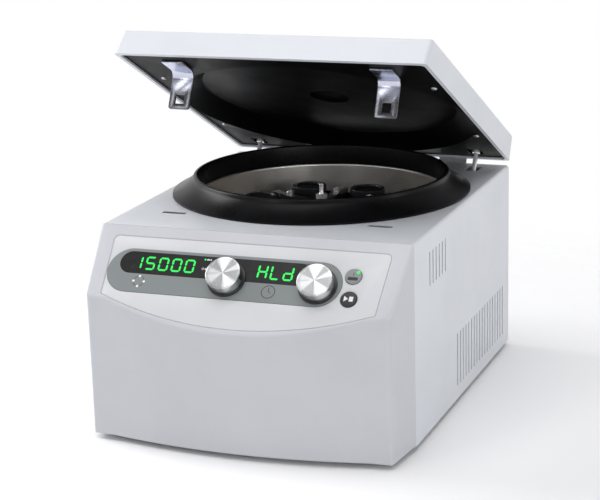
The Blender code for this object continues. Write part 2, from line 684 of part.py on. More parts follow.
def build_front_cover(parent):
    """Loft the cover from sections across its width, hollow it and sink the panel's pocket."""
    side_y = PANEL_SIDE_LENGTH * math.cos(TILT)
    def section(share, wall, back):
        x_back = share * (HALF_WIDTH - wall)
        x_front = share * (HALF_WIDTH - FRONT_TAPER - wall)
        length = PANEL_SIDE_LENGTH + arc_rise(x_front, BULGE_HALF_WIDTH, PANEL_MID_LENGTH - PANEL_SIDE_LENGTH)
        top_y = -length * math.cos(TILT) + wall
        foot_y = -FRONT_FOOT_Y - arc_rise(x_front, BULGE_HALF_WIDTH, FRONT_FOOT_BULGE) + wall
        drop = wall / math.cos(TILT)
        slope = math.tan(TILT)
        foot_x = share * (HALF_WIDTH - FRONT_TAPER * FRONT_FOOT_Y / side_y - wall)
        low = -OVERRUN if wall else 0
        return [(x_back, back, BODY_HEIGHT + back * slope - drop),
                (x_front, top_y, BODY_HEIGHT + top_y * slope - drop),
                (foot_x, foot_y, low), (x_back, back, low)]
    def loft(wall, back):
        bm = bmesh.new()
        shares = [-1, -BULGE_HALF_WIDTH / HALF_WIDTH]
        shares += [shares[1] * (1 - 2 * (index + 1) / FRONT_STATIONS) for index in range(FRONT_STATIONS)]
        shares.append(1)
        rows = [[bm.verts.new(point) for point in section(share, wall, back)] for share in shares]
        for row, other in zip(rows, rows[1:]):
            for index in range(4):
                after = (index + 1) % 4
                bm.faces.new((row[index], row[after], other[after], other[index]))
        bm.faces.new(rows[0])
        bm.faces.new(rows[-1])
        return bm, rows
    bm, rows = loft(0, -SEAT_GAP)
    weights = bm.edges.layers.float.new("bevel_weight_edge")
    soft = EDGE_ROUND / CORNER_ROUND
    for row, other in zip(rows, rows[1:]):
        for index in (1, 2):
            bm.edges.get((row[index], other[index]))[weights] = soft
    for row in (rows[0], rows[-1]):
        bm.edges.get((row[0], row[1]))[weights] = soft
        bm.edges.get((row[1], row[2]))[weights] = 1
        bm.edges.get((row[2], row[3]))[weights] = soft
    cover = piece("front_cover", bm, MOULDING, parent, smooth=30)
    bevel = cover.modifiers.new("rounded_edges", "BEVEL")
    bevel.limit_method = "WEIGHT"
    bevel.width = CORNER_ROUND
    bevel.segments = 2
    hollow, _ = loft(FRONT_WALL, OVERRUN)
    cut(cover, "cover_hollow", hollow)
    pocket = prism(insert_outline(-SEAT_GAP), -POCKET_DEPTH, OVERRUN)
    tool = cut(cover, "panel_pocket", pocket)
    window = prism(insert_outline(POCKET_LEDGE), -POCKET_DEPTH - 2 * FRONT_WALL, OVERRUN)
    opening = cut(cover, "panel_opening", window)
    for shape in (tool, opening):
        shape.location = (0, 0, BODY_HEIGHT)
        shape.rotation_euler = (TILT, 0, 0)


def insert_outline(inset):
    """Outline of the control panel on the slope: x, and minus the distance down the slope."""
    points = []
    rise = INSERT_MID_END - INSERT_SIDE_END
    half = INSERT_HALF_WIDTH_LOW - inset
    top = -INSERT_TOP - inset
    for index in range(ARC_STEPS + 1):
        x = half * (2 * index / ARC_STEPS - 1)
        points.append((x, -INSERT_SIDE_END - arc_rise(x, half, rise - inset / 2) + inset / 2))
    wide = INSERT_HALF_WIDTH - inset
    corners = [points[-1], (wide, top), (-wide, top), points[0]]
    rounded = filleted(corners, INSERT_CORNER)
    arc_points = len(rounded) // len(corners)
    return points + rounded[arc_points:3 * arc_points]


def build_panel(slope):
    """The insert, strip and window; heights are measured out from the cover's slope."""
    face = PANEL_FACE
    panel = piece("control_panel", prism(insert_outline(0), face - INSERT_THICK, face), INSERT, slope)
    strip_low = face - STRIP_THICK
    strip_high = face + SEAT_GAP
    holes = prism(stadium(STRIP_LEFT - SEAT_GAP, STRIP_RIGHT + SEAT_GAP, STRIP_HEIGHT + 2 * SEAT_GAP, -STRIP_MID),
                  strip_low - SEAT_GAP, face + OVERRUN)
    cut(panel, "strip_recess", holes)
    wells = bmesh.new()
    for x, down in BUTTON_PLACE.values():
        add_prism(wells, disc(BUTTON_RADIUS + RUN_GAP, MID_STEPS, (x, -down)),
                  face - INSERT_THICK - OVERRUN, face + OVERRUN)
    for x in KNOB_X.values():
        add_prism(wells, disc(KNOB_SHAFT + RUN_GAP, SMALL_STEPS, (x, -KNOB_DOWN)),
                  face - INSERT_THICK - OVERRUN, face + OVERRUN)
    cut(panel, "button_wells", wells)
    strip = piece("display_strip", prism(stadium(STRIP_LEFT, STRIP_RIGHT, STRIP_HEIGHT, -STRIP_MID),
                                         strip_low, strip_high), STRIP, slope)
    seat = strip_high - WINDOW_THICK - SEAT_GAP
    right = KNOB_X["time_knob"]
    cut(strip, "window_recess", prism(stadium(WINDOW_LEFT - SEAT_GAP, right, WINDOW_HEIGHT + 2 * SEAT_GAP,
                                              -WINDOW_MID), seat, strip_high + OVERRUN))
    rings, shafts, clear = bmesh.new(), bmesh.new(), bmesh.new()
    for x in KNOB_X.values():
        centre = (x, -KNOB_DOWN)
        add_prism(rings, disc(KNOB_RING_RADIUS, MID_STEPS, centre), strip_low + SEAT_GAP,
                  strip_high + KNOB_RING_HEIGHT)
        add_prism(shafts, disc(KNOB_SHAFT + RUN_GAP, SMALL_STEPS, centre), strip_low - OVERRUN,
                  strip_high + KNOB_RING_HEIGHT + OVERRUN)
        add_prism(clear, disc(KNOB_RING_RADIUS + SEAT_GAP, MID_STEPS, centre), seat - OVERRUN,
                  strip_high + OVERRUN)
    fuse(strip, "knob_rings", rings)
    cut(strip, "shaft_holes", shafts)
    window = piece("display_window", prism(stadium(WINDOW_LEFT, right - KNOB_RING_RADIUS / 2, WINDOW_HEIGHT,
                                                   -WINDOW_MID), seat + SEAT_GAP, strip_high), DARK_WINDOW, slope)
    cut(window, "ring_clearance", clear)


def build_knobs(slope):
    """Two turned knobs, each with its shaft."""
    low = PANEL_FACE + SEAT_GAP + KNOB_RING_HEIGHT + SEAT_GAP
    for name, x in KNOB_X.items():
        axis = frame(name + "_axis", slope, (x, -KNOB_DOWN, low))
        profile = [(0, KNOB_HEIGHT), (KNOB_RADIUS - 2 * KNOB_EDGE, KNOB_HEIGHT),
                   (KNOB_RADIUS - KNOB_EDGE, KNOB_HEIGHT - KNOB_EDGE / 2),
                   (KNOB_RADIUS, KNOB_HEIGHT - 2 * KNOB_EDGE), (KNOB_RADIUS, 0),
                   (KNOB_SHAFT, 0), (KNOB_SHAFT, -KNOB_SHAFT_LENGTH), (0, -KNOB_SHAFT_LENGTH)]
        piece(name, turned(profile, MID_STEPS), ALUMINIUM, axis, smooth=30)


def build_buttons(slope):
    """Two round buttons on stems, each kept in by a flange behind the panel."""
    back = PANEL_FACE - INSERT_THICK - SEAT_GAP
    for name, (x, down) in BUTTON_PLACE.items():
        axis = frame(name + "_axis", slope, (x, -down, back))
        top = INSERT_THICK + SEAT_GAP + BUTTON_PROUD
        tip = -BOARD_TO_PANEL + SWITCH_PAD + BUTTON_TRAVEL + SEAT_GAP
        profile = [(0, top), (BUTTON_RADIUS - BUTTON_EDGE, top), (BUTTON_RADIUS, top - BUTTON_EDGE),
                   (BUTTON_RADIUS, 0), (BUTTON_RADIUS + BUTTON_FLANGE, 0),
                   (BUTTON_RADIUS + BUTTON_FLANGE, -BUTTON_FLANGE), (BUTTON_STEM, -BUTTON_FLANGE),
                   (BUTTON_STEM, tip), (0, tip)]
        mat = BUTTON_GREY if name == "lid_button" else BLACK_PLASTIC
        piece(name, turned(profile, MID_STEPS), mat, axis, smooth=30)


def build_boards(parent, slope):
    """Control board behind the panel, with encoders and key switches, and the drive board behind it."""
    top = PANEL_FACE - INSERT_THICK - SEAT_GAP - BOARD_TO_PANEL
    board = piece("control_board", prism(rectangle((-BOARD_HALF_WIDTH, -BOARD_BOTTOM),
                                                   (BOARD_HALF_WIDTH, -BOARD_TOP)), top - BOARD_THICK, top),
                  BOARD_GREEN, slope)
    parts = bmesh.new()
    encoder_top = PANEL_FACE + 2 * SEAT_GAP + KNOB_RING_HEIGHT - KNOB_SHAFT_LENGTH - SEAT_GAP
    for x in KNOB_X.values():
        add_box(parts, (x - ENCODER_SIZE / 2, -KNOB_DOWN - ENCODER_SIZE / 2, top - BOARD_THICK / 2),
                (x + ENCODER_SIZE / 2, -KNOB_DOWN + ENCODER_SIZE / 2, encoder_top))
    for x, down in BUTTON_PLACE.values():
        add_box(parts, (x - SWITCH_PAD, -down - SWITCH_PAD, top - BOARD_THICK / 2),
                (x + SWITCH_PAD, -down + SWITCH_PAD, top + SWITCH_PAD))
    fuse(board, "board_parts", parts)
    drive = piece("drive_board", box((-DRIVE_BOARD_WIDTH / 2, DRIVE_BOARD_Y - BOARD_THICK, DRIVE_BOARD_LOW_Z),
                                     (DRIVE_BOARD_WIDTH / 2, DRIVE_BOARD_Y, DRIVE_BOARD_LOW_Z + DRIVE_BOARD_HEIGHT)),
                  BOARD_GREEN, parent)
    blocks = bmesh.new()
    low = DRIVE_BOARD_LOW_Z + DRIVE_BOARD_HEIGHT / 4
    for share in DRIVE_PART_SHARES:
        x = share * DRIVE_BOARD_WIDTH
        add_box(blocks, (x - DRIVE_PART_DEPTH / 2, DRIVE_BOARD_Y - DRIVE_PART_DEPTH, low),
                (x + DRIVE_PART_DEPTH / 2, DRIVE_BOARD_Y - BOARD_THICK / 2, low + DRIVE_BOARD_HEIGHT / 2))
    fuse(drive, "drive_parts", blocks)
    posts = bmesh.new()
    for side in (-1, 1):
        x = side * (DRIVE_BOARD_WIDTH / 2 - DRIVE_PART_DEPTH / 2)
        add_box(posts, (x - SWITCH_PAD, DRIVE_BOARD_Y - BOARD_THICK, SHEET + SEAT_GAP),
                (x + SWITCH_PAD, DRIVE_BOARD_Y, DRIVE_BOARD_LOW_Z + SWITCH_PAD))
    fuse(drive, "drive_feet", posts)


# Chamber, motor and rotor

def build_chamber(parent):
    """Rubber ring on the deck, bowl, guard ring, and motor on its rubber mount."""
    centre = (0, CHAMBER_Y, 0)
    flange_top = BODY_HEIGHT - RING_SINK
    rim_z = BODY_HEIGHT + RING_HEIGHT
    base = BODY_HEIGHT + SEAT_GAP
    bulge = (RING_BASE_RADIUS - RING_RIM_RADIUS) / 2
    ring = [(RING_BORE_RADIUS + RING_LIP / 2, rim_z), (RING_BORE_RADIUS, rim_z - RING_LIP),
            (RING_BORE_RADIUS, flange_top + SEAT_GAP), (DECK_HOLE_RADIUS - SEAT_GAP, flange_top + SEAT_GAP),
            (DECK_HOLE_RADIUS - SEAT_GAP, base), (RING_BASE_RADIUS, base),
            (RING_BASE_RADIUS, base + RING_LIP)]
    for share in RING_FLARE_SHARES:
        height = base + RING_LIP + share * (rim_z - base - 2 * RING_LIP)
        radius = RING_BASE_RADIUS - share * (RING_BASE_RADIUS - RING_RIM_RADIUS)
        ring.append((radius - bulge * share * (1 - share), height))
    ring += [(RING_RIM_RADIUS + RING_LIP / 2, rim_z - RING_LIP), (RING_RIM_RADIUS, rim_z - RING_LIP / 2),
             (RING_RIM_RADIUS - RING_LIP / 2, rim_z)]
    piece("chamber_ring", turned(ring, ROUND_STEPS), BLACK_RUBBER, parent, centre, smooth=40)

    roll = BOWL_WALL
    inner, outer = BOWL_RADIUS, BOWL_RADIUS + BOWL_WALL
    floor = BOWL_FLOOR_Z
    bowl = [(inner, flange_top - roll * 2), (inner + roll, flange_top - roll / 2), (inner + roll * 2, flange_top),
            (BOWL_FLANGE_RADIUS, flange_top), (BOWL_FLANGE_RADIUS, flange_top - BOWL_WALL),
            (outer + roll, flange_top - BOWL_WALL - roll / 2), (outer, flange_top - roll * 2 - BOWL_WALL)]
    def corner(radius, order):
        points = []
        for step in order:
            angle = math.radians(90 * step / CORNER_STEPS)
            points.append((inner - BOWL_CORNER + radius * math.cos(angle),
                           floor + BOWL_CORNER - radius * math.sin(angle)))
        return points
    bowl += corner(BOWL_CORNER + BOWL_WALL, range(CORNER_STEPS + 1))
    bowl += [(BOWL_COLLAR_RADIUS - BOWL_WALL, floor - BOWL_WALL),
             (BOWL_COLLAR_RADIUS - BOWL_WALL, floor + BOWL_COLLAR_HEIGHT),
             (BOWL_COLLAR_RADIUS, floor + BOWL_COLLAR_HEIGHT), (BOWL_COLLAR_RADIUS, floor)]
    bowl += corner(BOWL_CORNER, range(CORNER_STEPS, -1, -1))
    piece("chamber_bowl", turned(bowl, ROUND_STEPS), STEEL, parent, centre, smooth=40)

    guard_inner = outer + GUARD_GAP
    guard_outer = guard_inner + GUARD_WALL
    guard_top = flange_top - BOWL_WALL - roll / 2 - SEAT_GAP
    guard_low = SHEET + SEAT_GAP
    guard = piece("guard_ring", turned([(guard_outer, guard_top), (guard_outer, guard_low),
                                        (guard_inner, guard_low), (guard_inner, guard_top)], ROUND_STEPS),
                  ZINC, parent, centre, smooth=40)
    windows = bmesh.new()
    add_box(windows, (-GUARD_WINDOW_WIDTH / 2, -guard_outer - OVERRUN, guard_low + PAN_LIP),
            (GUARD_WINDOW_WIDTH / 2, guard_outer + OVERRUN, guard_low + PAN_LIP + GUARD_WINDOW_HEIGHT))
    cut(guard, "guard_windows", windows)

    damper_low = SHEET + SEAT_GAP
    damper_top = damper_low + DAMPER_HEIGHT
    waist = DAMPER_HEIGHT / 4
    damper = [(DAMPER_OUTER, damper_top), (DAMPER_OUTER - waist, damper_low + DAMPER_HEIGHT / 2),
              (DAMPER_OUTER, damper_low), (DAMPER_INNER, damper_low), (DAMPER_INNER, damper_top)]
    piece("motor_damper", turned(damper, MID_STEPS), BLACK_RUBBER, parent, centre, smooth=40)

    motor_low = damper_top + SEAT_GAP
    motor_top = motor_low + MOTOR_FLANGE + MOTOR_HEIGHT
    nose = motor_top + MOTOR_NOSE
    bore = SHAFT_RADIUS + RUN_GAP
    shaft_low = nose - SHAFT_IN_MOTOR
    motor = [(MOTOR_NOSE_RADIUS, nose), (MOTOR_NOSE_RADIUS, motor_top), (MOTOR_RADIUS - MOTOR_FLANGE, motor_top),
             (MOTOR_RADIUS, motor_top - MOTOR_FLANGE), (MOTOR_RADIUS, motor_low + MOTOR_FLANGE),
             (MOTOR_FLANGE_RADIUS, motor_low + MOTOR_FLANGE), (MOTOR_FLANGE_RADIUS, motor_low),
             (0, motor_low)]
    motor = [(0, shaft_low - SEAT_GAP), (bore, shaft_low - SEAT_GAP), (bore, nose)] + motor
    piece("motor", turned(motor, MID_STEPS), MOTOR_PAINT, parent, centre, smooth=40)
    return shaft_low


def build_rotor(axis, shaft_low):
    """Shaft, six-armed head with trunnion studs, and the nut on top, in the rotor's own frame."""
    shaft_top = HUB_TOP_Z - SHEET
    piece("motor_shaft", turned([(0, shaft_top), (SHAFT_RADIUS - SHEET, shaft_top),
                                 (SHAFT_RADIUS, shaft_top - SHEET), (SHAFT_RADIUS, shaft_low), (0, shaft_low)],
                                SMALL_STEPS), STEEL, axis, smooth=40)
    bore = SHAFT_RADIUS + SEAT_GAP
    low = HUB_TOP_Z - HUB_HEIGHT
    hub = turned([(0, HUB_TOP_Z), (HUB_RADIUS - SHEET, HUB_TOP_Z), (HUB_RADIUS, HUB_TOP_Z - SHEET),
                  (HUB_RADIUS, low + HUB_HEIGHT / 4), (HUB_RADIUS * HUB_TAPER_SHARE, low), (0, low)], ROTOR_PLACES * 4)
    head = piece("rotor_head", hub, DARK_ALLOY, axis, smooth=35)
    arms = bmesh.new()
    add_prism(arms, star_outline(), HUB_TOP_Z - ARM_HEIGHT, HUB_TOP_Z - SHEET)
    fuse(head, "rotor_arms", arms)
    studs = bmesh.new()
    for index in range(ROTOR_PLACES):
        turn = Matrix.Rotation(math.tau * index / ROTOR_PLACES, 4, "Z")
        for side in (-1, 1):
            reach = PIVOT_RADIUS * math.tan(math.pi / ROTOR_PLACES) - STUD_ROOT
            start = len(studs.verts)
            ends = sorted((side * STUD_INNER_END, side * reach))
            add_prism(studs, disc(STUD_RADIUS, STUD_STEPS, (PIVOT_RADIUS, PIVOT_Z)), *ends, "Y")
            studs.verts.ensure_lookup_table()
            bmesh.ops.transform(studs, matrix=turn, verts=studs.verts[start:])
    fuse(head, "rotor_studs", studs)
    cut(head, "shaft_bore", turned([(0, HUB_TOP_Z + OVERRUN), (bore, HUB_TOP_Z + OVERRUN), (bore, low - OVERRUN),
                                    (0, low - OVERRUN)], SMALL_STEPS))
    nut_low = HUB_TOP_Z + SEAT_GAP
    nut_top = nut_low + NUT_HEIGHT
    piece("rotor_nut", turned([(0, NUT_TOP_Z), (NUT_STEM_RADIUS - NUT_EDGE, NUT_TOP_Z),
                               (NUT_STEM_RADIUS, NUT_TOP_Z - NUT_EDGE), (NUT_STEM_RADIUS, nut_top),
                               (NUT_RADIUS - NUT_EDGE, nut_top), (NUT_RADIUS, nut_top - NUT_EDGE),
                               (NUT_RADIUS, nut_low), (0, nut_low)], SMALL_STEPS), STEEL, axis, smooth=40)


def star_outline():
    """Outline of the six arms: each is narrower at its root and has a rounded tip."""
    points = []
    root = ARM_ROOT_WIDTH / 2 / math.sin(math.pi / ROTOR_PLACES)
    for index in range(ROTOR_PLACES):
        along = math.tau * (index + 0.5) / ROTOR_PLACES
        valley = math.tau * index / ROTOR_PLACES
        points.append((root * math.cos(valley), root * math.sin(valley)))
        for share, reach in ((-1, ARM_REACH - ARM_WIDTH / 4), (-0.5, ARM_REACH), (0.5, ARM_REACH),
                             (1, ARM_REACH - ARM_WIDTH / 4)):
            aside = share * ARM_WIDTH / 2
            points.append((reach * math.cos(along) - aside * math.sin(along),
                           reach * math.sin(along) + aside * math.cos(along)))
    return points


def build_bucket(number, rotor_axis):
    """One bucket with two hooked ears, and its cap, hanging from an axis across two studs."""
    turn = math.tau * (number - 1) / ROTOR_PLACES
    seat = frame("bucket_axis_%d" % number, rotor_axis,
                 (PIVOT_RADIUS * math.cos(turn), PIVOT_RADIUS * math.sin(turn), PIVOT_Z),
                 (0, 0, math.degrees(turn)))
    cap_top = CAP_OVER_PIVOT
    cap_low = cap_top - CAP_HEIGHT
    top = cap_top - CAP_DISH - CAP_ROOF - SEAT_GAP
    inner = BUCKET_RADIUS - BUCKET_WALL
    round_z = BUCKET_RADIUS - BUCKET_DROP
    inside, outside = [], []
    for step in range(BUCKET_ROUND_STEPS + 1):
        angle = math.pi / 2 * step / BUCKET_ROUND_STEPS
        across, down = math.sin(angle) if step else 0, math.cos(angle)
        inside.append((inner * across, round_z - inner * down))
        outside.append((BUCKET_RADIUS * across, round_z - BUCKET_RADIUS * down))
    profile = inside + [(inner, top), (BUCKET_RADIUS, top)] + outside[::-1]
    bucket = piece("bucket_%d" % number, turned(profile, BUCKET_STEPS), DARK_ALLOY, seat, smooth=35)
    ears = bmesh.new()
    notch = STUD_RADIUS + RUN_GAP
    half = BUCKET_EAR_WIDTH / 2
    outline = [(-notch, -BUCKET_EAR_DROP), (-half, -BUCKET_EAR_DROP), (-half, BUCKET_EAR_RISE),
               (half, BUCKET_EAR_RISE), (half, -BUCKET_EAR_DROP), (notch, -BUCKET_EAR_DROP)]
    for step in range(STUD_STEPS + 1):
        angle = math.pi * step / STUD_STEPS
        outline.append((notch * math.cos(angle), notch * math.sin(angle)))
    start = BUCKET_RADIUS - BUCKET_WALL / 2
    for side in (-1, 1):
        add_prism(ears, outline, *sorted((side * start, side * BUCKET_EAR_REACH)), "Y")
    fuse(bucket, "bucket_ears_%d" % number, ears)
    bore = BUCKET_RADIUS + RUN_GAP
    cap = [(0, cap_top - CAP_DISH), (CAP_DISH_RADIUS, cap_top - CAP_DISH), (CAP_DISH_RADIUS + CAP_DISH / 2, cap_top),
           (CAP_RADIUS - CAP_EDGE, cap_top), (CAP_RADIUS, cap_top - CAP_EDGE), (CAP_RADIUS, cap_low),
           (bore, cap_low), (bore, top + SEAT_GAP), (0, top + SEAT_GAP)]
    piece("bucket_cap_%d" % number, turned(cap, BUCKET_STEPS), DARK_ALLOY, seat, smooth=35)


# Gas springs

def gas_length_and_tilt(opened):
    """Pivot to pivot length, and lean from upright to the rear, with the lid open or closed."""
    stud = complex(LID_STUD_Y - HINGE.y, LID_UNDERSIDE + LID_STUD_RISE - HINGE.z)
    if opened:
        angle = -math.radians(LID_OPEN)
        stud *= complex(math.cos(angle), math.sin(angle))
    reach = stud + complex(HINGE.y - LOWER_PIVOT_Y, HINGE.z - LOWER_PIVOT_Z)
    return abs(reach), math.degrees(math.atan2(reach.real, reach.imag))


def gas_slot_middle():
    """Middle of the deck slot between the rod's open and closed places."""
    rise = BODY_HEIGHT - LOWER_PIVOT_Z
    crossings = [LOWER_PIVOT_Y + rise * math.tan(math.radians(gas_length_and_tilt(opened)[1]))
                 for opened in (True, False)]
    return sum(crossings) / 2


def build_gas_spring(name, side, parent, lid):
    """Housing mount, cylinder, rod with its end fitting, and the stud bracket in the lid."""
    length, lean = gas_length_and_tilt(True)
    eye_half = GAS_EYE_THICK / 2
    stud_bore = GAS_STUD_RADIUS + RUN_GAP
    tilt = frame(name + "_axis", parent, (side * SPRING_X, LOWER_PIVOT_Y, LOWER_PIVOT_Z), (-lean, 0, 0))
    cylinder = piece("spring_cylinder_" + name,
                     turned([(0, GAS_BORE_START), (GAS_ROD_RADIUS + RUN_GAP, GAS_BORE_START),
                             (GAS_ROD_RADIUS + RUN_GAP, GAS_CYLINDER_END),
                             (GAS_CYLINDER_RADIUS - GAS_EDGE, GAS_CYLINDER_END),
                             (GAS_CYLINDER_RADIUS, GAS_CYLINDER_END - GAS_EDGE),
                             (GAS_CYLINDER_RADIUS, GAS_CYLINDER_START), (0, GAS_CYLINDER_START)], SMALL_STEPS),
                     BLACK_PLASTIC, tilt, smooth=40)
    eye = [(-eye_half, GAS_EYE_RADIUS), (eye_half, GAS_EYE_RADIUS)]
    fuse(cylinder, "cylinder_eye_" + name, turned(axial(eye), SMALL_STEPS, "X"))
    hole = [(-eye_half - OVERRUN, stud_bore), (eye_half + OVERRUN, stud_bore)]
    cut(cylinder, "cylinder_bore_" + name, turned(axial(hole), SMALL_STEPS, "X"))
    socket_low = length - GAS_SOCKET_LENGTH
    rod = piece("spring_rod_" + name,
                turned([(0, length - GAS_EYE_RADIUS / 2), (GAS_SOCKET_RADIUS, length - GAS_EYE_RADIUS / 2),
                        (GAS_SOCKET_RADIUS, socket_low), (GAS_ROD_RADIUS, socket_low),
                        (GAS_ROD_RADIUS, GAS_ROD_START), (0, GAS_ROD_START)], SMALL_STEPS),
                STEEL, tilt, smooth=40)
    top_eye = turned(axial(eye), SMALL_STEPS, "X")
    bmesh.ops.translate(top_eye, vec=(0, 0, length), verts=top_eye.verts)
    fuse(rod, "rod_eye_" + name, top_eye)
    loose = GAS_STUD_RADIUS + GAS_PIVOT_CLEARANCE
    top_hole = turned(axial([(-eye_half - OVERRUN, loose), (eye_half + OVERRUN, loose)]), SMALL_STEPS, "X")
    bmesh.ops.translate(top_hole, vec=(0, 0, length), verts=top_hole.verts)
    cut(rod, "rod_bore_" + name, top_hole)

    wall = HALF_WIDTH - SHEET - SEAT_GAP - SPRING_X
    shoulder = eye_half + 2 * SEAT_GAP
    mount = [(-eye_half, GAS_STUD_RADIUS), (shoulder, GAS_STUD_RADIUS), (shoulder, GAS_STUD_RADIUS + GAS_EDGE),
             (wall - GAS_MOUNT_PLATE, GAS_ARM_RADIUS), (wall - GAS_MOUNT_PLATE, GAS_MOUNT_RADIUS),
             (wall, GAS_MOUNT_RADIUS)]
    mirrored = [(side * height, radius) for height, radius in mount]
    piece("spring_mount_" + name, turned(axial(mirrored), SMALL_STEPS, "X"), ZINC, parent,
          (side * SPRING_X, LOWER_PIVOT_Y, LOWER_PIVOT_Z), smooth=40)
    stud_z = LID_UNDERSIDE + LID_STUD_RISE
    roof = LID_UNDERSIDE + LID_HEIGHT - LID_WALL - SEAT_GAP
    near = GAS_SOCKET_RADIUS + 2 * RUN_GAP
    far = near + GAS_EYE_THICK
    plate = bmesh.new()
    outline = [(LID_STUD_Y - LID_STUD_PLATE_WIDTH / 2, roof), (LID_STUD_Y - GAS_EYE_RADIUS, stud_z - GAS_EYE_RADIUS),
               (LID_STUD_Y + GAS_EYE_RADIUS, stud_z - GAS_EYE_RADIUS), (LID_STUD_Y + LID_STUD_PLATE_WIDTH / 2, roof)]
    add_prism(plate, outline, *sorted((side * near, side * far)), "X")
    stud = piece("lid_stud_" + name, plate, ZINC, lid, Vector((side * SPRING_X, 0, 0)) - HINGE)
    pin = turned(axial([(-side * eye_half, GAS_STUD_RADIUS), (side * (far - GAS_EDGE), GAS_STUD_RADIUS)]),
                 SMALL_STEPS, "X")
    bmesh.ops.translate(pin, vec=(0, LID_STUD_Y, stud_z), verts=pin.verts)
    fuse(stud, "lid_stud_pin_" + name, pin)


def axial(pairs):
    """Close a (place along the axis, radius) outline onto the axis, for a turned body."""
    return [(0, pairs[0][0])] + [(radius, along) for along, radius in pairs] + [(0, pairs[-1][0])]


# Lid

def lid_front(height):
    """How far the lid's front face has leaned back at a height above its lower edge."""
    return LID_FRONT_SETBACK * height / LID_HEIGHT


def build_lid(lid):
    """Shell, liner with its round recess, and the viewing port's window; all drawn closed."""
    place = -HINGE
    low, high = LID_UNDERSIDE, LID_UNDERSIDE + LID_HEIGHT
    bm = bmesh.new()
    side = [(0, low), (BODY_DEPTH, low), (BODY_DEPTH, high), (LID_FRONT_SETBACK, high)]
    add_prism(bm, side, -HALF_WIDTH, HALF_WIDTH, "X")
    weights = bm.edges.layers.float.new("bevel_weight_edge")
    for edge in bm.edges:
        first, second = edge.verts[0].co, edge.verts[1].co
        upright = abs(first.z - second.z) > LID_HEIGHT / 2
        top = min(first.z, second.z) > high - LID_EDGE
        edge[weights] = 1 if upright else LID_EDGE / LID_CORNER if top else 0
    shell = piece("lid_shell", bm, PAINT, lid, place, smooth=30)
    bevel = shell.modifiers.new("rounded_edges", "BEVEL")
    bevel.limit_method = "WEIGHT"
    bevel.width = LID_CORNER
    bevel.segments = 3
    slant = LID_WALL * math.hypot(1, LID_FRONT_SETBACK / LID_HEIGHT)
    floor, roof = low + LID_WALL, high - LID_WALL
    inside = [(lid_front(LID_WALL) + slant, floor), (BODY_DEPTH - LID_WALL, floor), (BODY_DEPTH - LID_WALL, roof),
              (lid_front(LID_HEIGHT - LID_WALL) + slant, roof)]
    cavity = prism(inside, -HALF_WIDTH + LID_WALL, HALF_WIDTH - LID_WALL, "X")
    cut(shell, "lid_cavity", cavity)
    mouth = rectangle((-HALF_WIDTH + LID_FLANGE, LID_FLANGE + slant), (HALF_WIDTH - LID_FLANGE, BODY_DEPTH - LID_FLANGE))
    cut(shell, "lid_mouth", prism(filleted(mouth, LINER_CORNER), low - OVERRUN, floor + SHEET))
    cut(shell, "port_hole", prism(disc(PORT_RADIUS, MID_STEPS, (0, CHAMBER_Y)), roof - OVERRUN, high + OVERRUN))

    liner_low = floor + SEAT_GAP
    liner_high = liner_low + LINER_THICK
    front = lid_front(LID_WALL + SEAT_GAP + LINER_THICK) + slant + SEAT_GAP
    edge = LID_WALL + SEAT_GAP
    outline = filleted(rectangle((-HALF_WIDTH + edge, front), (HALF_WIDTH - edge, BODY_DEPTH - edge)), SHEET)
    liner = piece("lid_liner", prism(outline, liner_low, liner_high), BLACK_PLASTIC, lid, place, smooth=30)
    ceiling = RIM_Z + SEAT_GAP
    cone = [(0, ceiling + LINER_THICK), (RECESS_TOP_RADIUS, ceiling + LINER_THICK),
            (RECESS_MOUTH_RADIUS + LINER_THICK / 2, liner_high - LINER_THICK / 2), (0, liner_high - LINER_THICK / 2)]
    dome = turned(cone, ROUND_STEPS)
    recess = turned([(0, ceiling), (RECESS_TOP_RADIUS - LINER_THICK, ceiling), (RECESS_MOUTH_RADIUS, liner_low),
                     (RECESS_MOUTH_RADIUS, liner_low - OVERRUN), (0, liner_low - OVERRUN)], ROUND_STEPS)
    hole = prism(disc(PORT_RADIUS, MID_STEPS), ceiling - OVERRUN, ceiling + LINER_THICK + OVERRUN)
    for tool in (dome, recess, hole):
        bmesh.ops.translate(tool, vec=(0, CHAMBER_Y, 0), verts=tool.verts)
    fuse(liner, "liner_dome", dome)
    cut(liner, "liner_recess", recess)
    cut(liner, "liner_port", hole)
    notches = bmesh.new()
    reach = LID_STUD_RISE * math.tan(math.radians(gas_length_and_tilt(False)[1]))
    for side in (-1, 1):
        half = GAS_DECK_SLOT_WIDTH / 2
        add_box(notches, (side * SPRING_X - half, LID_STUD_Y - reach - GAS_SOCKET_RADIUS - OVERRUN,
                          liner_low - OVERRUN),
                (side * SPRING_X + half, LID_STUD_Y + GAS_EYE_RADIUS + SHEET, liner_high + OVERRUN))
    cut(liner, "rod_notches", notches)
    thick_low = ceiling + LINER_THICK + SEAT_GAP
    piece("view_window", turned([(0, roof - SEAT_GAP), (PORT_RADIUS + WINDOW_DISC_MARGIN, roof - SEAT_GAP),
                                          (PORT_RADIUS + WINDOW_DISC_MARGIN, thick_low), (0, thick_low)],
                                         MID_STEPS), CLEAR, lid, place + Vector((0, CHAMBER_Y, 0)), smooth=40)


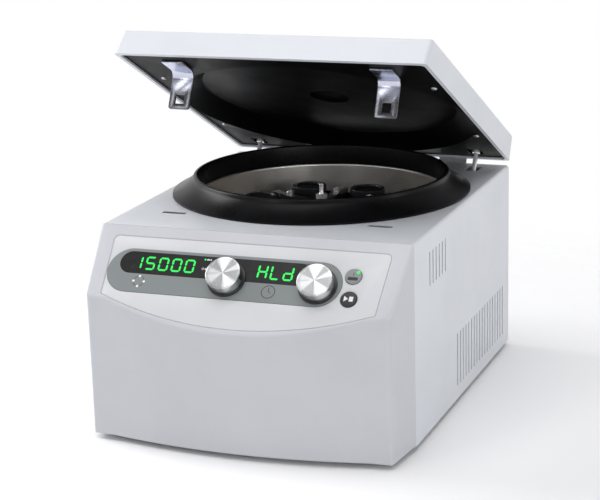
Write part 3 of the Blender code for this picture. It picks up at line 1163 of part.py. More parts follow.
def build_latch(name, side, parent, lid):
    """Strap on the lid, case under the deck, and the bolt that slides through the strap's hole."""
    x = side * STRAP_X
    foot_high = LID_UNDERSIDE + LID_WALL
    foot_low = foot_high - STRAP_THICK
    tip = LID_UNDERSIDE - STRAP_DROP
    rear = STRAP_Y + STRAP_THICK
    outline = [(rear, tip)]
    centre_y, centre_z = STRAP_Y - STRAP_BEND + STRAP_THICK, foot_high - STRAP_BEND
    for radius, order in ((STRAP_BEND, range(BEND_STEPS + 1)), (STRAP_BEND - STRAP_THICK, range(BEND_STEPS, -1, -1))):
        if radius < STRAP_BEND:
            outline += [(STRAP_Y - STRAP_FOOT, foot_high), (STRAP_Y - STRAP_FOOT, foot_low)]
        for step in order:
            angle = math.pi / 2 * step / BEND_STEPS
            outline.append((centre_y + radius * math.cos(angle), centre_z + radius * math.sin(angle)))
    outline.append((STRAP_Y, tip))
    strap = piece("latch_strap_" + name, prism(outline, -STRAP_WIDTH / 2, STRAP_WIDTH / 2, "X"), STEEL, lid,
                  Vector((x, 0, 0)) - HINGE, smooth=30)
    hole_z = LID_UNDERSIDE - STRAP_HOLE_DROP
    half = STRAP_HOLE / 2
    tools = box((-half, STRAP_Y - OVERRUN, hole_z - half), (half, rear + OVERRUN, hole_z + half))
    cut(strap, "strap_hole_" + name, tools)
    width = STRAP_WIDTH / 2
    corners = bmesh.new()
    for hand in (-1, 1):
        trim = STRAP_BEND / 2
        chamfer = trim / 3
        add_prism(corners, [(hand * width + hand * OVERRUN, tip - OVERRUN), (hand * (width - trim), tip - OVERRUN),
                            (hand * (width - trim), tip), (hand * (width - chamfer), tip + chamfer),
                            (hand * width, tip + trim), (hand * width + hand * OVERRUN, tip + trim)],
                  STRAP_Y - OVERRUN, rear + OVERRUN, "Y")
    cut(strap, "strap_corners_" + name, corners)

    top = DECK_UNDERSIDE - SEAT_GAP
    half = LATCH_CASE_WIDTH / 2
    case = piece("latch_case_" + name, box((-half, LATCH_CASE_FRONT_Y, top - LATCH_CASE_DROP),
                                           (half, LATCH_CASE_REAR_Y, top)), BLACK_PLASTIC, parent, (x, 0, 0))
    mid = STRAP_Y + STRAP_THICK / 2 - strap_drift() / 2
    slot = box((-DECK_SLOT_LENGTH / 2, mid - DECK_SLOT_WIDTH / 2, tip - 2 * OVERRUN),
               (DECK_SLOT_LENGTH / 2, mid + DECK_SLOT_WIDTH / 2, top + OVERRUN))
    cut(case, "latch_slot_" + name, slot)
    room = BOLT_SIZE / 2 + RUN_GAP
    start = mid - DECK_SLOT_WIDTH / 2 - BOLT_GAP - BOLT_LENGTH
    end = start + BOLT_LENGTH + BOLT_TRAVEL + RUN_GAP
    channel = box((-room, start - RUN_GAP, hole_z - room), (room, end, hole_z + room))
    cut(case, "bolt_channel_" + name, channel)
    slide = frame("latch_bolt_axis_" + name, parent, (x, start, hole_z))
    half = BOLT_SIZE / 2
    nose = BOLT_SIZE / 4
    outline = [(0, -half), (BOLT_LENGTH - nose, -half), (BOLT_LENGTH, -half + nose), (BOLT_LENGTH, half - nose),
               (BOLT_LENGTH - nose, half), (0, half)]
    piece("latch_bolt_" + name, prism(outline, -half, half, "X"), STEEL, slide)


def build_hinge(name, side, parent, lid):
    """Bracket with its pin on the rear panel, and the leaf on the lid's rear wall."""
    x = side * HINGE_X
    seat = BODY_DEPTH - REAR_INSET + SEAT_GAP
    plate_half = KNUCKLE_WIDTH / 2 + RUN_GAP + LUG_WIDTH
    bracket = piece("hinge_bracket_" + name, box((-plate_half, seat, HINGE.z - BRACKET_DROP),
                                                 (plate_half, seat + HINGE_PLATE, HINGE.z + KNUCKLE_RADIUS / 4)),
                    ZINC, parent, (x, 0, 0))
    lugs = bmesh.new()
    profile = [(seat + HINGE_PLATE / 2, HINGE.z - BRACKET_DROP / 2), (seat + HINGE_PLATE / 2, HINGE.z + KNUCKLE_RADIUS)]
    for step in range(STUD_STEPS + 1):
        angle = math.pi / 2 - LUG_SWEEP * step / STUD_STEPS
        profile.append((HINGE.y + KNUCKLE_RADIUS * math.cos(angle), HINGE.z + KNUCKLE_RADIUS * math.sin(angle)))
    for hand in (-1, 1):
        inner = hand * (KNUCKLE_WIDTH / 2 + RUN_GAP)
        add_prism(lugs, profile, *sorted((inner, hand * plate_half)), "X")
    fuse(bracket, "hinge_lugs_" + name, lugs)
    pin = turned(axial([(-plate_half + SHEET, PIN_RADIUS), (plate_half - SHEET, PIN_RADIUS)]), SMALL_STEPS, "X")
    bmesh.ops.translate(pin, vec=(0, HINGE.y, HINGE.z), verts=pin.verts)
    fuse(bracket, "hinge_pin_" + name, pin)
    skirt = BODY_DEPTH + SEAT_GAP - HINGE.y
    leaf = piece("hinge_leaf_" + name, box((-LEAF_WIDTH / 2, skirt, KNUCKLE_RADIUS + SHEET),
                                           (LEAF_WIDTH / 2, skirt + HINGE_PLATE, LEAF_RISE)), ZINC, lid, (x, 0, 0))
    barrel = turned(axial([(-KNUCKLE_WIDTH / 2, KNUCKLE_RADIUS), (KNUCKLE_WIDTH / 2, KNUCKLE_RADIUS)]),
                    SMALL_STEPS, "X")
    fuse(leaf, "leaf_knuckle_" + name, barrel)
    web = [(skirt, LEAF_RISE / 2), (skirt, KNUCKLE_RADIUS / 2), (0, 0), (KNUCKLE_RADIUS / 2, KNUCKLE_RADIUS / 2),
           (skirt + HINGE_PLATE, LEAF_RISE / 2)]
    fuse(leaf, "leaf_web_" + name, prism(web, -KNUCKLE_WIDTH / 2, KNUCKLE_WIDTH / 2, "X"))
    bore = PIN_RADIUS + RUN_GAP
    cut(leaf, "leaf_bore_" + name, turned(axial([(-KNUCKLE_WIDTH, bore), (KNUCKLE_WIDTH, bore)]), SMALL_STEPS, "X"))


# The whole centrifuge

def build_all():
    """Clear the scene and build every piece on one base frame."""
    for obj in list(bpy.data.objects):
        bpy.data.objects.remove(obj)
    base = frame("housing_frame", None, (0, 0, FOOT_HEIGHT))
    build_housing(base)
    build_base(base)
    build_rear(base)
    build_front_cover(base)
    slope = frame("panel_slope", base, (0, 0, BODY_HEIGHT), (PANEL_TILT, 0, 0))
    build_panel(slope)
    build_knobs(slope)
    build_buttons(slope)
    build_boards(base, slope)
    shaft_low = build_chamber(base)
    rotor_axis = frame("rotor_axis", base, (0, CHAMBER_Y, 0), (0, 0, ROTOR_TURN))
    build_rotor(rotor_axis, shaft_low)
    for number in range(1, ROTOR_PLACES + 1):
        build_bucket(number, rotor_axis)
    lid = frame("lid_axis", base, HINGE, (-LID_OPEN, 0, 0))
    build_lid(lid)
    for name, side in (("left", -1), ("right", 1)):
        build_latch(name, side, base, lid)
        build_gas_spring(name, side, base, lid)
        build_hinge(name, side, base, lid)
    centre_depth(base)


def centre_depth(base):
    """Slide the whole object along y so that its depth is centred on the origin."""
    bpy.context.view_layer.update()
    graph = bpy.context.evaluated_depsgraph_get()
    reach = []
    for obj in bpy.data.objects:
        if obj.type == "MESH" and not obj.hide_render:
            solid = obj.evaluated_get(graph)
            reach += [(obj.matrix_world @ vertex.co).y for vertex in solid.data.vertices]
    base.location.y = -(min(reach) + max(reach)) / 2


build_all()
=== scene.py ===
"""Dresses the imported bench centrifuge: smooth housings, rotor, lid and control panel with their materials."""

import math

import bmesh
import bpy
from mathutils import Matrix, Vector


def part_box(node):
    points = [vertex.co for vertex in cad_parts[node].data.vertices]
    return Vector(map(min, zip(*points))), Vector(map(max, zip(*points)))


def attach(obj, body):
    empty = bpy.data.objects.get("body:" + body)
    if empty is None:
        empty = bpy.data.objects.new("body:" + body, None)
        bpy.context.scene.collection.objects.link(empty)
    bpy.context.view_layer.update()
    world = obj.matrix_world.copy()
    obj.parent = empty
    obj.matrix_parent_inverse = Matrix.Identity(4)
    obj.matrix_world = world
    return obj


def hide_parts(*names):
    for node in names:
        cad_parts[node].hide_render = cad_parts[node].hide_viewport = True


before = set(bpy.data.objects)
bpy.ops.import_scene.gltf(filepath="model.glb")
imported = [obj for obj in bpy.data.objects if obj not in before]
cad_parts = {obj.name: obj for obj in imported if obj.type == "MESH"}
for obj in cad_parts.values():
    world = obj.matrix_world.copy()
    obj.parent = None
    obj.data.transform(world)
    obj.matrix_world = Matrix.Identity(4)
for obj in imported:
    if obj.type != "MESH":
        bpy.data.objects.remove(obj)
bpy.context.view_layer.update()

# Sizes, in metres
HALF_WIDTH, BODY_DEPTH, BODY_HEIGHT, SHEET, BEND_RADIUS = 0.185, 0.405, 0.2305, 0.0015, 0.004
FOOT_HEIGHT = 0.006
CHAMBER_Y = 0.2205
PANEL_TILT = 46.0
TILT = math.radians(PANEL_TILT)
FRONT_WALL, FRONT_TAPER = 0.0045, 0.007
PANEL_SIDE_LENGTH, PANEL_MID_LENGTH, BULGE_HALF_WIDTH = 0.0926, 0.1265, 0.157
FRONT_FOOT_Y, FRONT_FOOT_BULGE = 0.0619, 0.018
INSERT_HALF_WIDTH, INSERT_HALF_WIDTH_LOW, INSERT_TOP = 0.164, 0.160, 0.014
INSERT_SIDE_END, INSERT_MID_END, INSERT_CORNER, INSERT_THICK = 0.088, 0.119, 0.006, 0.0022
POCKET_DEPTH, POCKET_LEDGE, SEAT_GAP = 0.003, 0.008, 0.0003
PANEL_FACE = -POCKET_DEPTH + SEAT_GAP + INSERT_THICK
STRIP_LEFT, STRIP_RIGHT, STRIP_HEIGHT, STRIP_MID, STRIP_THICK = -0.161, 0.116, 0.054, 0.0565, 0.0012
STRIP_TOP = PANEL_FACE + SEAT_GAP
WINDOW_LEFT, WINDOW_HEIGHT, WINDOW_MID = -0.148, 0.027, 0.0465
KNOB_X = {"speed_knob": -0.0165, "time_knob": 0.0895}
KNOB_RADIUS, KNOB_HEIGHT, KNOB_DOWN, KNOB_RING_RADIUS, KNOB_RING_HEIGHT = 0.020, 0.013, 0.059, 0.0215, 0.002
BUTTONS = {"lid_button": (0.1266, 0.0439), "start_button": (0.1272, 0.0715)}
BUTTON_RADIUS, BUTTON_PROUD = 0.0092, 0.0014
DECK_HOLE_RADIUS, RING_BASE_RADIUS, RING_RIM_RADIUS, RING_BORE_RADIUS = 0.163, 0.1795, 0.1532, 0.149
RING_HEIGHT, RING_LIP, RING_SINK = 0.024, 0.0022, 0.0007
RIM_Z = BODY_HEIGHT + RING_HEIGHT
BOWL_RADIUS, BOWL_WALL, BOWL_FLANGE_RADIUS, BOWL_FLOOR_Z, BOWL_CORNER = 0.150, 0.0012, 0.161, 0.122, 0.014
BOWL_COLLAR_RADIUS, BOWL_COLLAR_HEIGHT = 0.026, 0.010
ROTOR_TURN, ROTOR_PLACES, PIVOT_RADIUS, PIVOT_Z = 1.6, 6, 0.076, 0.2045
HUB_TOP_Z, HUB_RADIUS, HUB_HEIGHT = 0.216, 0.022, 0.050
ARM_REACH, ARM_WIDTH, ARM_ROOT_WIDTH, ARM_HEIGHT = 0.090, 0.012, 0.010, 0.018
STUD_RADIUS, STUD_INNER_END = 0.0036, 0.0212
BUCKET_RADIUS, BUCKET_WALL, BUCKET_DROP, BUCKET_EAR_REACH = 0.019, 0.0018, 0.0625, 0.0262
CAP_RADIUS, CAP_HEIGHT, CAP_TOP_Z = 0.0213, 0.008, 0.220
LID_OPEN, LID_UNDERSIDE, LID_HEIGHT, LID_SETBACK, LID_WALL = 26.75, 0.233, 0.0325, 0.0148, 0.0025
LID_FLANGE, LINER_THICK, RECESS_MOUTH_RADIUS, RECESS_TOP_RADIUS = 0.0045, 0.0024, 0.1795, 0.159
PORT_RADIUS = 0.0245
HINGE = Vector((0, 0.412, 0.221))
SPRING_X = 0.1464
STRAP_X, STRAP_Y, STRAP_WIDTH, STRAP_THICK, STRAP_DROP = 0.125, 0.066, 0.026, 0.0025, 0.044
STRAP_BEND, STRAP_FOOT, STRAP_HOLE, STRAP_HOLE_DROP = 0.011, 0.036, 0.011, 0.032

OVERRUN, DECK_CUT = 0.002, (0.22, 0.24)
VENT_ROWS, VENT_PITCH, VENT_WIDTH = ((6, 0.0575, 0.1685, 0.2077), (18, 0.167, 0.0155, 0.0807)), 0.0122, 0.0036
VENT_CUT = 0.005
LATCH_SLOT_HALF_LENGTH, LATCH_SLOT_HALF_WIDTH, LATCH_SLOT_CORNER = 0.0145, 0.004, 0.0015
LIP_WALL, LIP_DEPTH, LIP_SINK = 0.0010, 0.0045, 0.0007
SPRING_SLOT_HALF, SPRING_SLOT_FRONT, SPRING_SLOT_REAR, SPRING_SLOT_CORNER = 0.009, 0.3636, 0.3896, 0.004
RELEASE_HOLE, RELEASE_HOLE_RADIUS = (0.1046, 0.0661), 0.0012
SHAFT_RADIUS, WINDOW_RIGHT = 0.0034, 0.0787
DIGIT_ROWS = (("15000", -0.1330, -0.0550, 0.0158, 0.0118, 0.0168),
              ("HLd", 0.0170, -0.0554, 0.0150, 0.0115, 0.0180))
DIGIT_STROKE = 0.0021
UNIT_LAMP_X, UNIT_LAMP_ROWS, UNIT_MARK_X, UNIT_MARK_PITCH = -0.0475, (-0.0368, -0.0485), -0.0452, 0.0019
TURN_SIGN, TURN_SIGN_RADIUS, CLOCK_SIGN, CLOCK_RADIUS = (-0.1194, -0.0697), 0.0063, (0.0349, -0.0704), 0.0076

SHIFT_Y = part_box("housing")[0][1]
BASE = Matrix.Translation((0, SHIFT_Y, FOOT_HEIGHT))
SLOPE = BASE @ Matrix.Translation((0, 0, BODY_HEIGHT)) @ Matrix.Rotation(TILT, 4, "X")
CHAMBER = BASE @ Matrix.Translation((0, CHAMBER_Y, 0))
ROTOR = CHAMBER @ Matrix.Rotation(math.radians(ROTOR_TURN), 4, "Z")
LID = BASE @ Matrix.Translation(HINGE) @ Matrix.Rotation(-math.radians(LID_OPEN), 4,
                                                         "X") @ Matrix.Translation(-HINGE)


# Shader maths

class Value:
    """A node output that takes part in sums, products and comparisons."""

    def __init__(self, tree, socket):
        self.tree, self.socket = tree, socket

    def math(self, operation, *others, clamp=False):
        """Chain a Math node."""
        node = self.tree.nodes.new("ShaderNodeMath")
        node.operation, node.use_clamp = operation, clamp
        for place, value in zip(node.inputs, (self, *others)):
            link(self.tree, value, place)
        return Value(self.tree, node.outputs[0])

    def __add__(self, other):
        return self.math("ADD", other)

    def __sub__(self, other):
        return self.math("SUBTRACT", other)

    def __mul__(self, other):
        return self.math("MULTIPLY", other)

    def __rsub__(self, other):
        return (self * -1) + other

    __radd__, __rmul__ = __add__, __mul__

    def ramp(self, low, high, out_low=0.0, out_high=1.0):
        """Map low..high smoothly to out_low..out_high."""
        node = self.tree.nodes.new("ShaderNodeMapRange")
        node.interpolation_type = "SMOOTHSTEP"
        link(self.tree, self, node.inputs[0])
        for place, value in zip(node.inputs[1:5], (low, high, out_low, out_high)):
            place.default_value = value
        return Value(self.tree, node.outputs[0])


def link(tree, value, place):
    """Join a value to an input, or set a constant on it."""
    if isinstance(value, Value):
        tree.links.new(value.socket, place)
    elif isinstance(value, (tuple, list)) and len(place.default_value) == 4:
        place.default_value = (*value, 1)
    else:
        place.default_value = value


class Paint:
    """A Principled material whose inputs are set by name."""

    def __init__(self, name, slot, **constants):
        self.material = bpy.data.materials.new(name)
        self.material.use_nodes = True
        self.slot = slot
        self.tree = self.material.node_tree
        self.shader = self.tree.nodes["Principled BSDF"]
        self.set(**constants)

    def set(self, **values):
        """Set or link Principled inputs; an underscore stands for a space."""
        for name, value in values.items():
            link(self.tree, value, self.shader.inputs[name.replace("_", " ")])
        return self

    def node(self, kind, out=0, props=None, **inputs):
        """Add one node and return one of its outputs."""
        made = self.tree.nodes.new("ShaderNode" + kind)
        for name, value in (props or {}).items():
            setattr(made, name, value)
        for name, value in inputs.items():
            link(self.tree, value, made.inputs[name.replace("_", " ")])
        return Value(self.tree, made.outputs[out])

    def place(self, matrix=None):
        """Object coordinates, moved into a piece's own frame."""
        here = self.node("TexCoord", 3)
        if matrix is None:
            return here
        inverse = matrix.inverted()
        turn = inverse.to_euler()
        return self.node("Mapping", Vector=here, Location=tuple(inverse.translation), Rotation=tuple(turn))

    def split(self, vector):
        """The three parts of a vector."""
        node = self.tree.nodes.new("ShaderNodeSeparateXYZ")
        link(self.tree, vector, node.inputs[0])
        return [Value(self.tree, socket) for socket in node.outputs]

    def noise(self, vector, scale, detail=3.0, rough=0.55, stretch=None):
        """Noise between 0 and 1."""
        if stretch:
            vector = self.node("Mapping", Vector=vector, Scale=stretch)
        return self.node("TexNoise", Vector=vector, Scale=scale, Detail=detail, Roughness=rough)

    def mix(self, share, first, second):
        """Mix two colours."""
        made = self.tree.nodes.new("ShaderNodeMix")
        made.data_type = "RGBA"
        link(self.tree, share, made.inputs[0])
        link(self.tree, first, made.inputs[6])
        link(self.tree, second, made.inputs[7])
        return Value(self.tree, made.outputs[2])

    def bump(self, height, depth):
        """Raise the surface by a height from 0 to 1 times a depth in metres."""
        self.set(Normal=self.node("Bump", Height=height, Distance=depth))
        return self


def tinted(colour, factor):
    """A colour made darker or lighter."""
    return tuple(part * factor for part in colour)


def painted(name, slot, colour, rough, grain=900.0, depth=0.00004, coat=0.0):
    """Lacquered or moulded surface: fine orange peel, slow tone drift and slight handling sheen."""
    paint = Paint(name, slot, Metallic=0.0, Coat_Weight=coat, Coat_Roughness=0.12)
    here = paint.place()
    drift = paint.noise(here, 9.0, 4.0)
    fine = paint.noise(here, grain, 2.0)
    paint.set(Base_Color=paint.mix(drift.ramp(0.3, 0.7), tinted(colour, 0.965), tinted(colour, 1.02)),
              Roughness=paint.noise(here, 26.0, 3.0).ramp(0.25, 0.75, rough - 0.04, rough + 0.05))
    return paint.bump(fine, depth)


HOUSING_PAINT = painted("housing_paint", "pale_paint", (0.62, 0.64, 0.67), 0.36)
COVER_PLASTIC = painted("cover_plastic", "pale_moulding", (0.525, 0.53, 0.56), 0.40, 1400.0, 0.00003)
INSERT_FILM = painted("insert_film", "light_insert", (0.60, 0.605, 0.615), 0.42, 2200.0, 0.00002)
STRIP_FILM = painted("strip_film", "grey_strip", (0.195, 0.218, 0.216), 0.45, 2600.0, 0.00002)
BUTTON_CAP = painted("button_cap", "button_grey", (0.225, 0.238, 0.238), 0.4, 2000.0, 0.00002)
MOTOR_COAT = painted("motor_coat", "motor_paint", (0.11, 0.11, 0.12), 0.5)


def dark(name, slot, colour, low, high, grain, depth, shine=0.5):
    """Dark rubber or plastic: fine grain, faint dust and uneven sheen."""
    paint = Paint(name, slot, Specular_IOR_Level=shine)
    here = paint.place()
    dust = paint.noise(here, 60.0, 6.0, 0.7)
    paint.set(Base_Color=paint.mix(dust.ramp(0.45, 0.85), colour, tinted(colour, 1.9)),
              Roughness=paint.noise(here, 14.0, 5.0).ramp(0.3, 0.7, low, high))
    return paint.bump(paint.noise(here, grain, 2.0), depth)


RING_RUBBER = dark("ring_rubber", "black_rubber", (0.0035, 0.0035, 0.004), 0.26, 0.36, 700.0, 0.00003, 0.15)
FOOT_RUBBER = dark("foot_rubber", "black_rubber", (0.018, 0.018, 0.018), 0.55, 0.7, 900.0, 0.00006)
LINER_PLASTIC = dark("liner_plastic", "black_plastic", (0.0018, 0.0018, 0.002), 0.28, 0.40, 1100.0, 0.00002,
                     0.04)
TRIM_PLASTIC = dark("trim_plastic", "black_plastic", (0.016, 0.016, 0.017), 0.32, 0.42, 1500.0, 0.00003)
WINDOW_GLOSS = dark("window_gloss", "dark_window", (0.018, 0.017, 0.017), 0.22, 0.3, 60.0, 0.0, 0.18)
PORT_GLOSS = dark("port_gloss", "smoked_window", (0.004, 0.004, 0.004), 0.10, 0.16, 60.0, 0.0, 0.05)
DARK_ALLOY = dark("dark_alloy", "dark_alloy", (0.020, 0.021, 0.023), 0.26, 0.36, 900.0,
                  0.00002).set(Metallic=0.35)
BOARD = painted("board_lacquer", "board_green", (0.02, 0.16, 0.07), 0.4)


def brushed(name, slot, colour, rough, stretch, matrix=None, lines=0.12):
    """Rolled or drawn metal with fine parallel lines and a slow drift in tone."""
    paint = Paint(name, slot, Metallic=1.0)
    here = paint.place(matrix)
    line = paint.noise(here, 1.0, 6.0, 0.7, stretch)
    drift = paint.noise(here, 22.0, 3.0)
    paint.set(Base_Color=paint.mix(line.ramp(0.3, 0.7), tinted(colour, 1 - lines),
                                   tinted(colour, 1 + lines / 2)),
              Roughness=drift.ramp(0.3, 0.7, rough - 0.05, rough + 0.07))
    return paint.bump(line, 0.00001)


def strap_painted_highlight(low, high):
    """Cross-brushed strap, with a painted highlight bright at its bend and painted shade darker towards its
    end.
    """
    paint = Paint("strap_steel", "bright_steel", Metallic=1.0)
    here = paint.place(LID)
    height = paint.split(here)[2]
    line = paint.noise(here, 1.0, 5.0, 0.7, (40, 40, 2200))
    # Painted highlight at the bend fading into painted shade towards the strap's end, mixed with the brushed
    # lines
    share = height.ramp(low, high) * 0.86 + line * 0.14
    paint.set(Base_Color=paint.mix(share, (0.12, 0.12, 0.13), (0.66, 0.68, 0.80)),
              Roughness=line.ramp(0.3, 0.7, 0.22, 0.34))
    return paint.bump(line, 0.00001)


# The strap's painted highlight and painted shade run between these two heights
STRAP_PAINTED_HIGHLIGHT = strap_painted_highlight(LID_UNDERSIDE - 0.026, LID_UNDERSIDE - 0.010)
BRIGHT_STEEL = brushed("bright_steel", "bright_steel", (0.66, 0.67, 0.69), 0.22, (60, 60, 3000))
ROD_CHROME = brushed("rod_chrome", "bright_steel", (0.95, 0.95, 0.96), 0.16,
                     (60, 60, 3000)).set(Metallic=0.55)
ZINC = brushed("zinc_plate", "zinc_plate", (0.52, 0.53, 0.56), 0.36, (300, 300, 300))


def spun(name, slot, colour, rough, matrix, grooves, wedges, depth=0.00001):
    """Turned metal: concentric grooves, and the paired bright wedges of a lathe-cut face painted into the
    colour as highlights, with painted shade between them.
    """
    paint = Paint(name, slot, Metallic=1.0)
    x, y, _ = paint.split(paint.place(matrix))
    radius = (x * x + y * y).math("SQRT")
    angle = y.math("ARCTAN2", x)
    groove = (radius * grooves).math("SINE") * 0.5 + 0.5
    ragged = paint.noise(paint.place(matrix), 260.0, 3.0) * 0.3 - 0.15
    share = None
    # Each wedge is a painted highlight in the base colour; outside the wedges the colour darkens as painted
    # shade
    for middle, width, strength in wedges:
        painted_highlight_wedge = ((angle - math.radians(middle)).math("COSINE") + ragged
                 * 0.05).ramp(math.cos(math.radians(width)), 1.0,
                                                                                    0.0, strength)
        share = painted_highlight_wedge if share is None else share + painted_highlight_wedge
    share = (share + groove * 0.06).math("MINIMUM", 1.0)
    paint.set(Base_Color=paint.mix(share, tinted(colour, 0.42), tinted(colour, 1.12)),
              Roughness=groove.ramp(0.0, 1.0, rough - 0.03, rough + 0.05))
    return paint.bump(groove, depth)


def glowing(name, slot, colour, strength):
    """A lit display segment or lamp."""
    paint = Paint(name, slot, Roughness=0.4, Emission_Strength=strength)
    level = paint.noise(paint.place(), 400.0, 2.0)
    paint.set(Base_Color=tinted(colour, 0.2),
              Emission_Color=paint.mix(level.ramp(0.2, 0.8), tinted(colour, 0.94), colour))
    return paint


def printed(name, slot, colour):
    """Screen-printed ink, slightly uneven."""
    paint = Paint(name, slot)
    here = paint.place()
    paint.set(Base_Color=paint.mix(paint.noise(here, 500.0, 3.0).ramp(0.3, 0.7), tinted(colour, 0.94),
                                   colour),
              Roughness=paint.noise(here, 90.0).ramp(0.3, 0.7, 0.42, 0.52))
    return paint


GREEN_GLOW = glowing("green_glow", "dark_window", (0.01, 0.86, 0.10), 1.15)
WHITE_INK = printed("white_ink", "grey_strip", (0.86, 0.88, 0.86))
BLACK_INK = printed("black_ink", "button_grey", (0.02, 0.02, 0.02))
GREY_INK = printed("grey_ink", "grey_strip", (0.045, 0.05, 0.05))
PALE_INK = printed("pale_ink", "black_plastic", (0.80, 0.81, 0.80))


# Mesh building

def prism(outline, low, high, axis="Z", bm=None):
    """Extrude an outline along an axis: (x, y) for Z, (x, z) for Y and (y, z) for X."""
    bm = bm or bmesh.new()
    order = {"Z": lambda a, b, h: (a, b, h), "Y": lambda a, b, h: (a, h, b), "X": lambda a, b,
             h: (h, a, b)}[axis]
    floor = [bm.verts.new(order(*pair, low)) for pair in outline]
    roof = [bm.verts.new(order(*pair, high)) for pair in outline]
    bm.faces.new(floor)
    bm.faces.new(roof)
    for index in range(len(outline)):
        after = (index + 1) % len(outline)
        bm.faces.new((floor[index], floor[after], roof[after], roof[index]))
    return bm


def box(low, high, bm=None):
    """A box between two corners."""
    return prism([(low[0], low[1]), (high[0], low[1]), (high[0], high[1]), (low[0], high[1])], low[2],
                 high[2], "Z", bm)


def turned(profile, steps=96, axis="Z", centre=(0, 0, 0), bm=None):
    """Sweep (radius, height) pairs round an axis into a closed body."""
    bm = bm or bmesh.new()
    centre = Vector(centre)
    rings = []
    for radius, height in profile:
        ring = []
        for step in range(steps if radius > 0 else 1):
            angle = math.tau * step / steps
            across, along = radius * math.cos(angle), radius * math.sin(angle)
            spot = {"Z": (across, along, height), "Y": (across, height, along),
                    "X": (height, across, along)}[axis]
            ring.append(bm.verts.new(centre + Vector(spot)))
        rings.append(ring)
    closed = profile[0][0] > 0
    for ring, other in zip(rings, rings[1:] + rings[:1] if closed else rings[1:]):
        for step in range(steps):
            after = (step + 1) % steps
            corners = list(dict.fromkeys([ring[step % len(ring)], ring[after % len(ring)],
                                          other[after % len(other)], other[step % len(other)]]))
            if len(corners) > 2:
                bm.faces.new(corners)
    return bm


def disc(radius, centre=(0, 0), steps=48):
    """Points of a circle."""
    return [(centre[0] + radius * math.cos(math.tau * step / steps),
             centre[1] + radius * math.sin(math.tau * step / steps)) for step in range(steps)]


def rounded(corners, radius, steps=6):
    """Round each corner of an outline."""
    points = []
    for index, corner in enumerate(corners):
        here = Vector(corner)
        back = Vector(corners[index - 1]) - here
        ahead = Vector(corners[(index + 1) % len(corners)]) - here
        opening = back.angle(ahead)
        start = here + back.normalized() * (radius / math.tan(opening / 2))
        end = here + ahead.normalized() * (radius / math.tan(opening / 2))
        middle = here + (back.normalized()
                         + ahead.normalized()).normalized() * (radius / math.sin(opening / 2))
        first = math.atan2(start.y - middle.y, start.x - middle.x)
        sweep = math.atan2(end.y - middle.y, end.x - middle.x) - first
        sweep = (sweep + math.pi) % math.tau - math.pi
        for step in range(steps + 1):
            angle = first + sweep * step / steps
            points.append((middle.x + radius * math.cos(angle), middle.y + radius * math.sin(angle)))
    return points


def rectangle(low, high):
    """Corners of a rectangle."""
    return [(low[0], low[1]), (high[0], low[1]), (high[0], high[1]), (low[0], high[1])]


def stadium(low, high, height, middle, steps=24):
    """Outline with round ends, from x low to x high."""
    radius = height / 2
    points = []
    for end, first in ((high - radius, -90), (low + radius, 90)):
        for step in range(steps + 1):
            angle = math.radians(first + 180 * step / steps)
            points.append((end + radius * math.cos(angle), middle + radius * math.sin(angle)))
    return points


def slot(middle, low, high, width, steps=6):
    """Upright slot with round ends."""
    radius = width / 2
    return [(middle + radius * math.cos(math.radians(first + 180 * step / steps)),
             centre + radius * math.sin(math.radians(first + 180 * step / steps)))
            for centre, first in ((high - radius, 0), (low + radius, 180)) for step in range(steps + 1)]


def arc_rise(x, half_width, rise):
    """Height at x of the arc with the given rise across both half widths."""
    if abs(x) >= half_width:
        return 0
    radius = (half_width ** 2 + rise ** 2) / (2 * rise)
    return math.sqrt(radius ** 2 - x ** 2) - (radius - rise)


def temporary(bm):
    """A helper object from a bmesh."""
    bmesh.ops.recalc_face_normals(bm, faces=bm.faces)
    mesh = bpy.data.meshes.new("helper")
    bm.to_mesh(mesh)
    bm.free()
    obj = bpy.data.objects.new("helper", mesh)
    bpy.context.collection.objects.link(obj)
    return obj


def make(name, bm, paint, body, matrix=BASE, replaces=(), steps=(), smooth=35, bevel=None):
    """Build one piece: Booleans in order, an optional bevel, then its place, material and body."""
    obj = temporary(bm)
    helpers = []
    if bevel and bevel[0] == "first":
        add_bevel(obj, bevel)
    for operation, tool in steps:
        helper = temporary(tool)
        helpers.append(helper)
        modifier = obj.modifiers.new("shape", "BOOLEAN")
        modifier.operation, modifier.solver, modifier.object = operation, "EXACT", helper
    if bevel and bevel[0] == "last":
        add_bevel(obj, bevel)
    graph = bpy.context.evaluated_depsgraph_get()
    mesh = bpy.data.meshes.new_from_object(obj.evaluated_get(graph))
    for helper in helpers + [obj]:
        bpy.data.objects.remove(helper)
    mesh.transform(matrix)
    mesh.name = name
    mesh.materials.clear()
    mesh.materials.append(paint.material)
    mesh.shade_smooth()
    mesh.set_sharp_from_angle(angle=math.radians(smooth))
    piece = bpy.data.objects.new(name, mesh)
    bpy.context.collection.objects.link(piece)
    if replaces:
        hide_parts(*replaces)
    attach(piece, body)
    return piece


def add_bevel(obj, bevel):
    """Round edges by weight or by angle: (when, limit, width, segments)."""
    modifier = obj.modifiers.new("rounding", "BEVEL")
    modifier.limit_method = bevel[1]
    modifier.width = bevel[2]
    modifier.segments = bevel[3]
    modifier.harden_normals = False
    modifier.miter_outer = "MITER_ARC"
    if bevel[1] == "ANGLE":
        modifier.angle_limit = math.radians(50)


def weigh(bm, choose):
    """Give each edge the bevel weight that choose(first, second) returns for its ends."""
    weights = bm.edges.layers.float.new("bevel_weight_edge")
    for edge in bm.edges:
        edge[weights] = choose(edge.verts[0].co, edge.verts[1].co)
    return bm


# Housing

def section(inset):
    """The bent sheet's outline at a distance inside its outer face."""
    wide, high = HALF_WIDTH - inset, BODY_HEIGHT - inset
    corners = [(-wide, 0), (-wide, high), (wide, high), (wide, 0)]
    bends = rounded(corners, BEND_RADIUS - inset, 8)
    return [corners[0]] + bends[9:27] + [corners[3]]


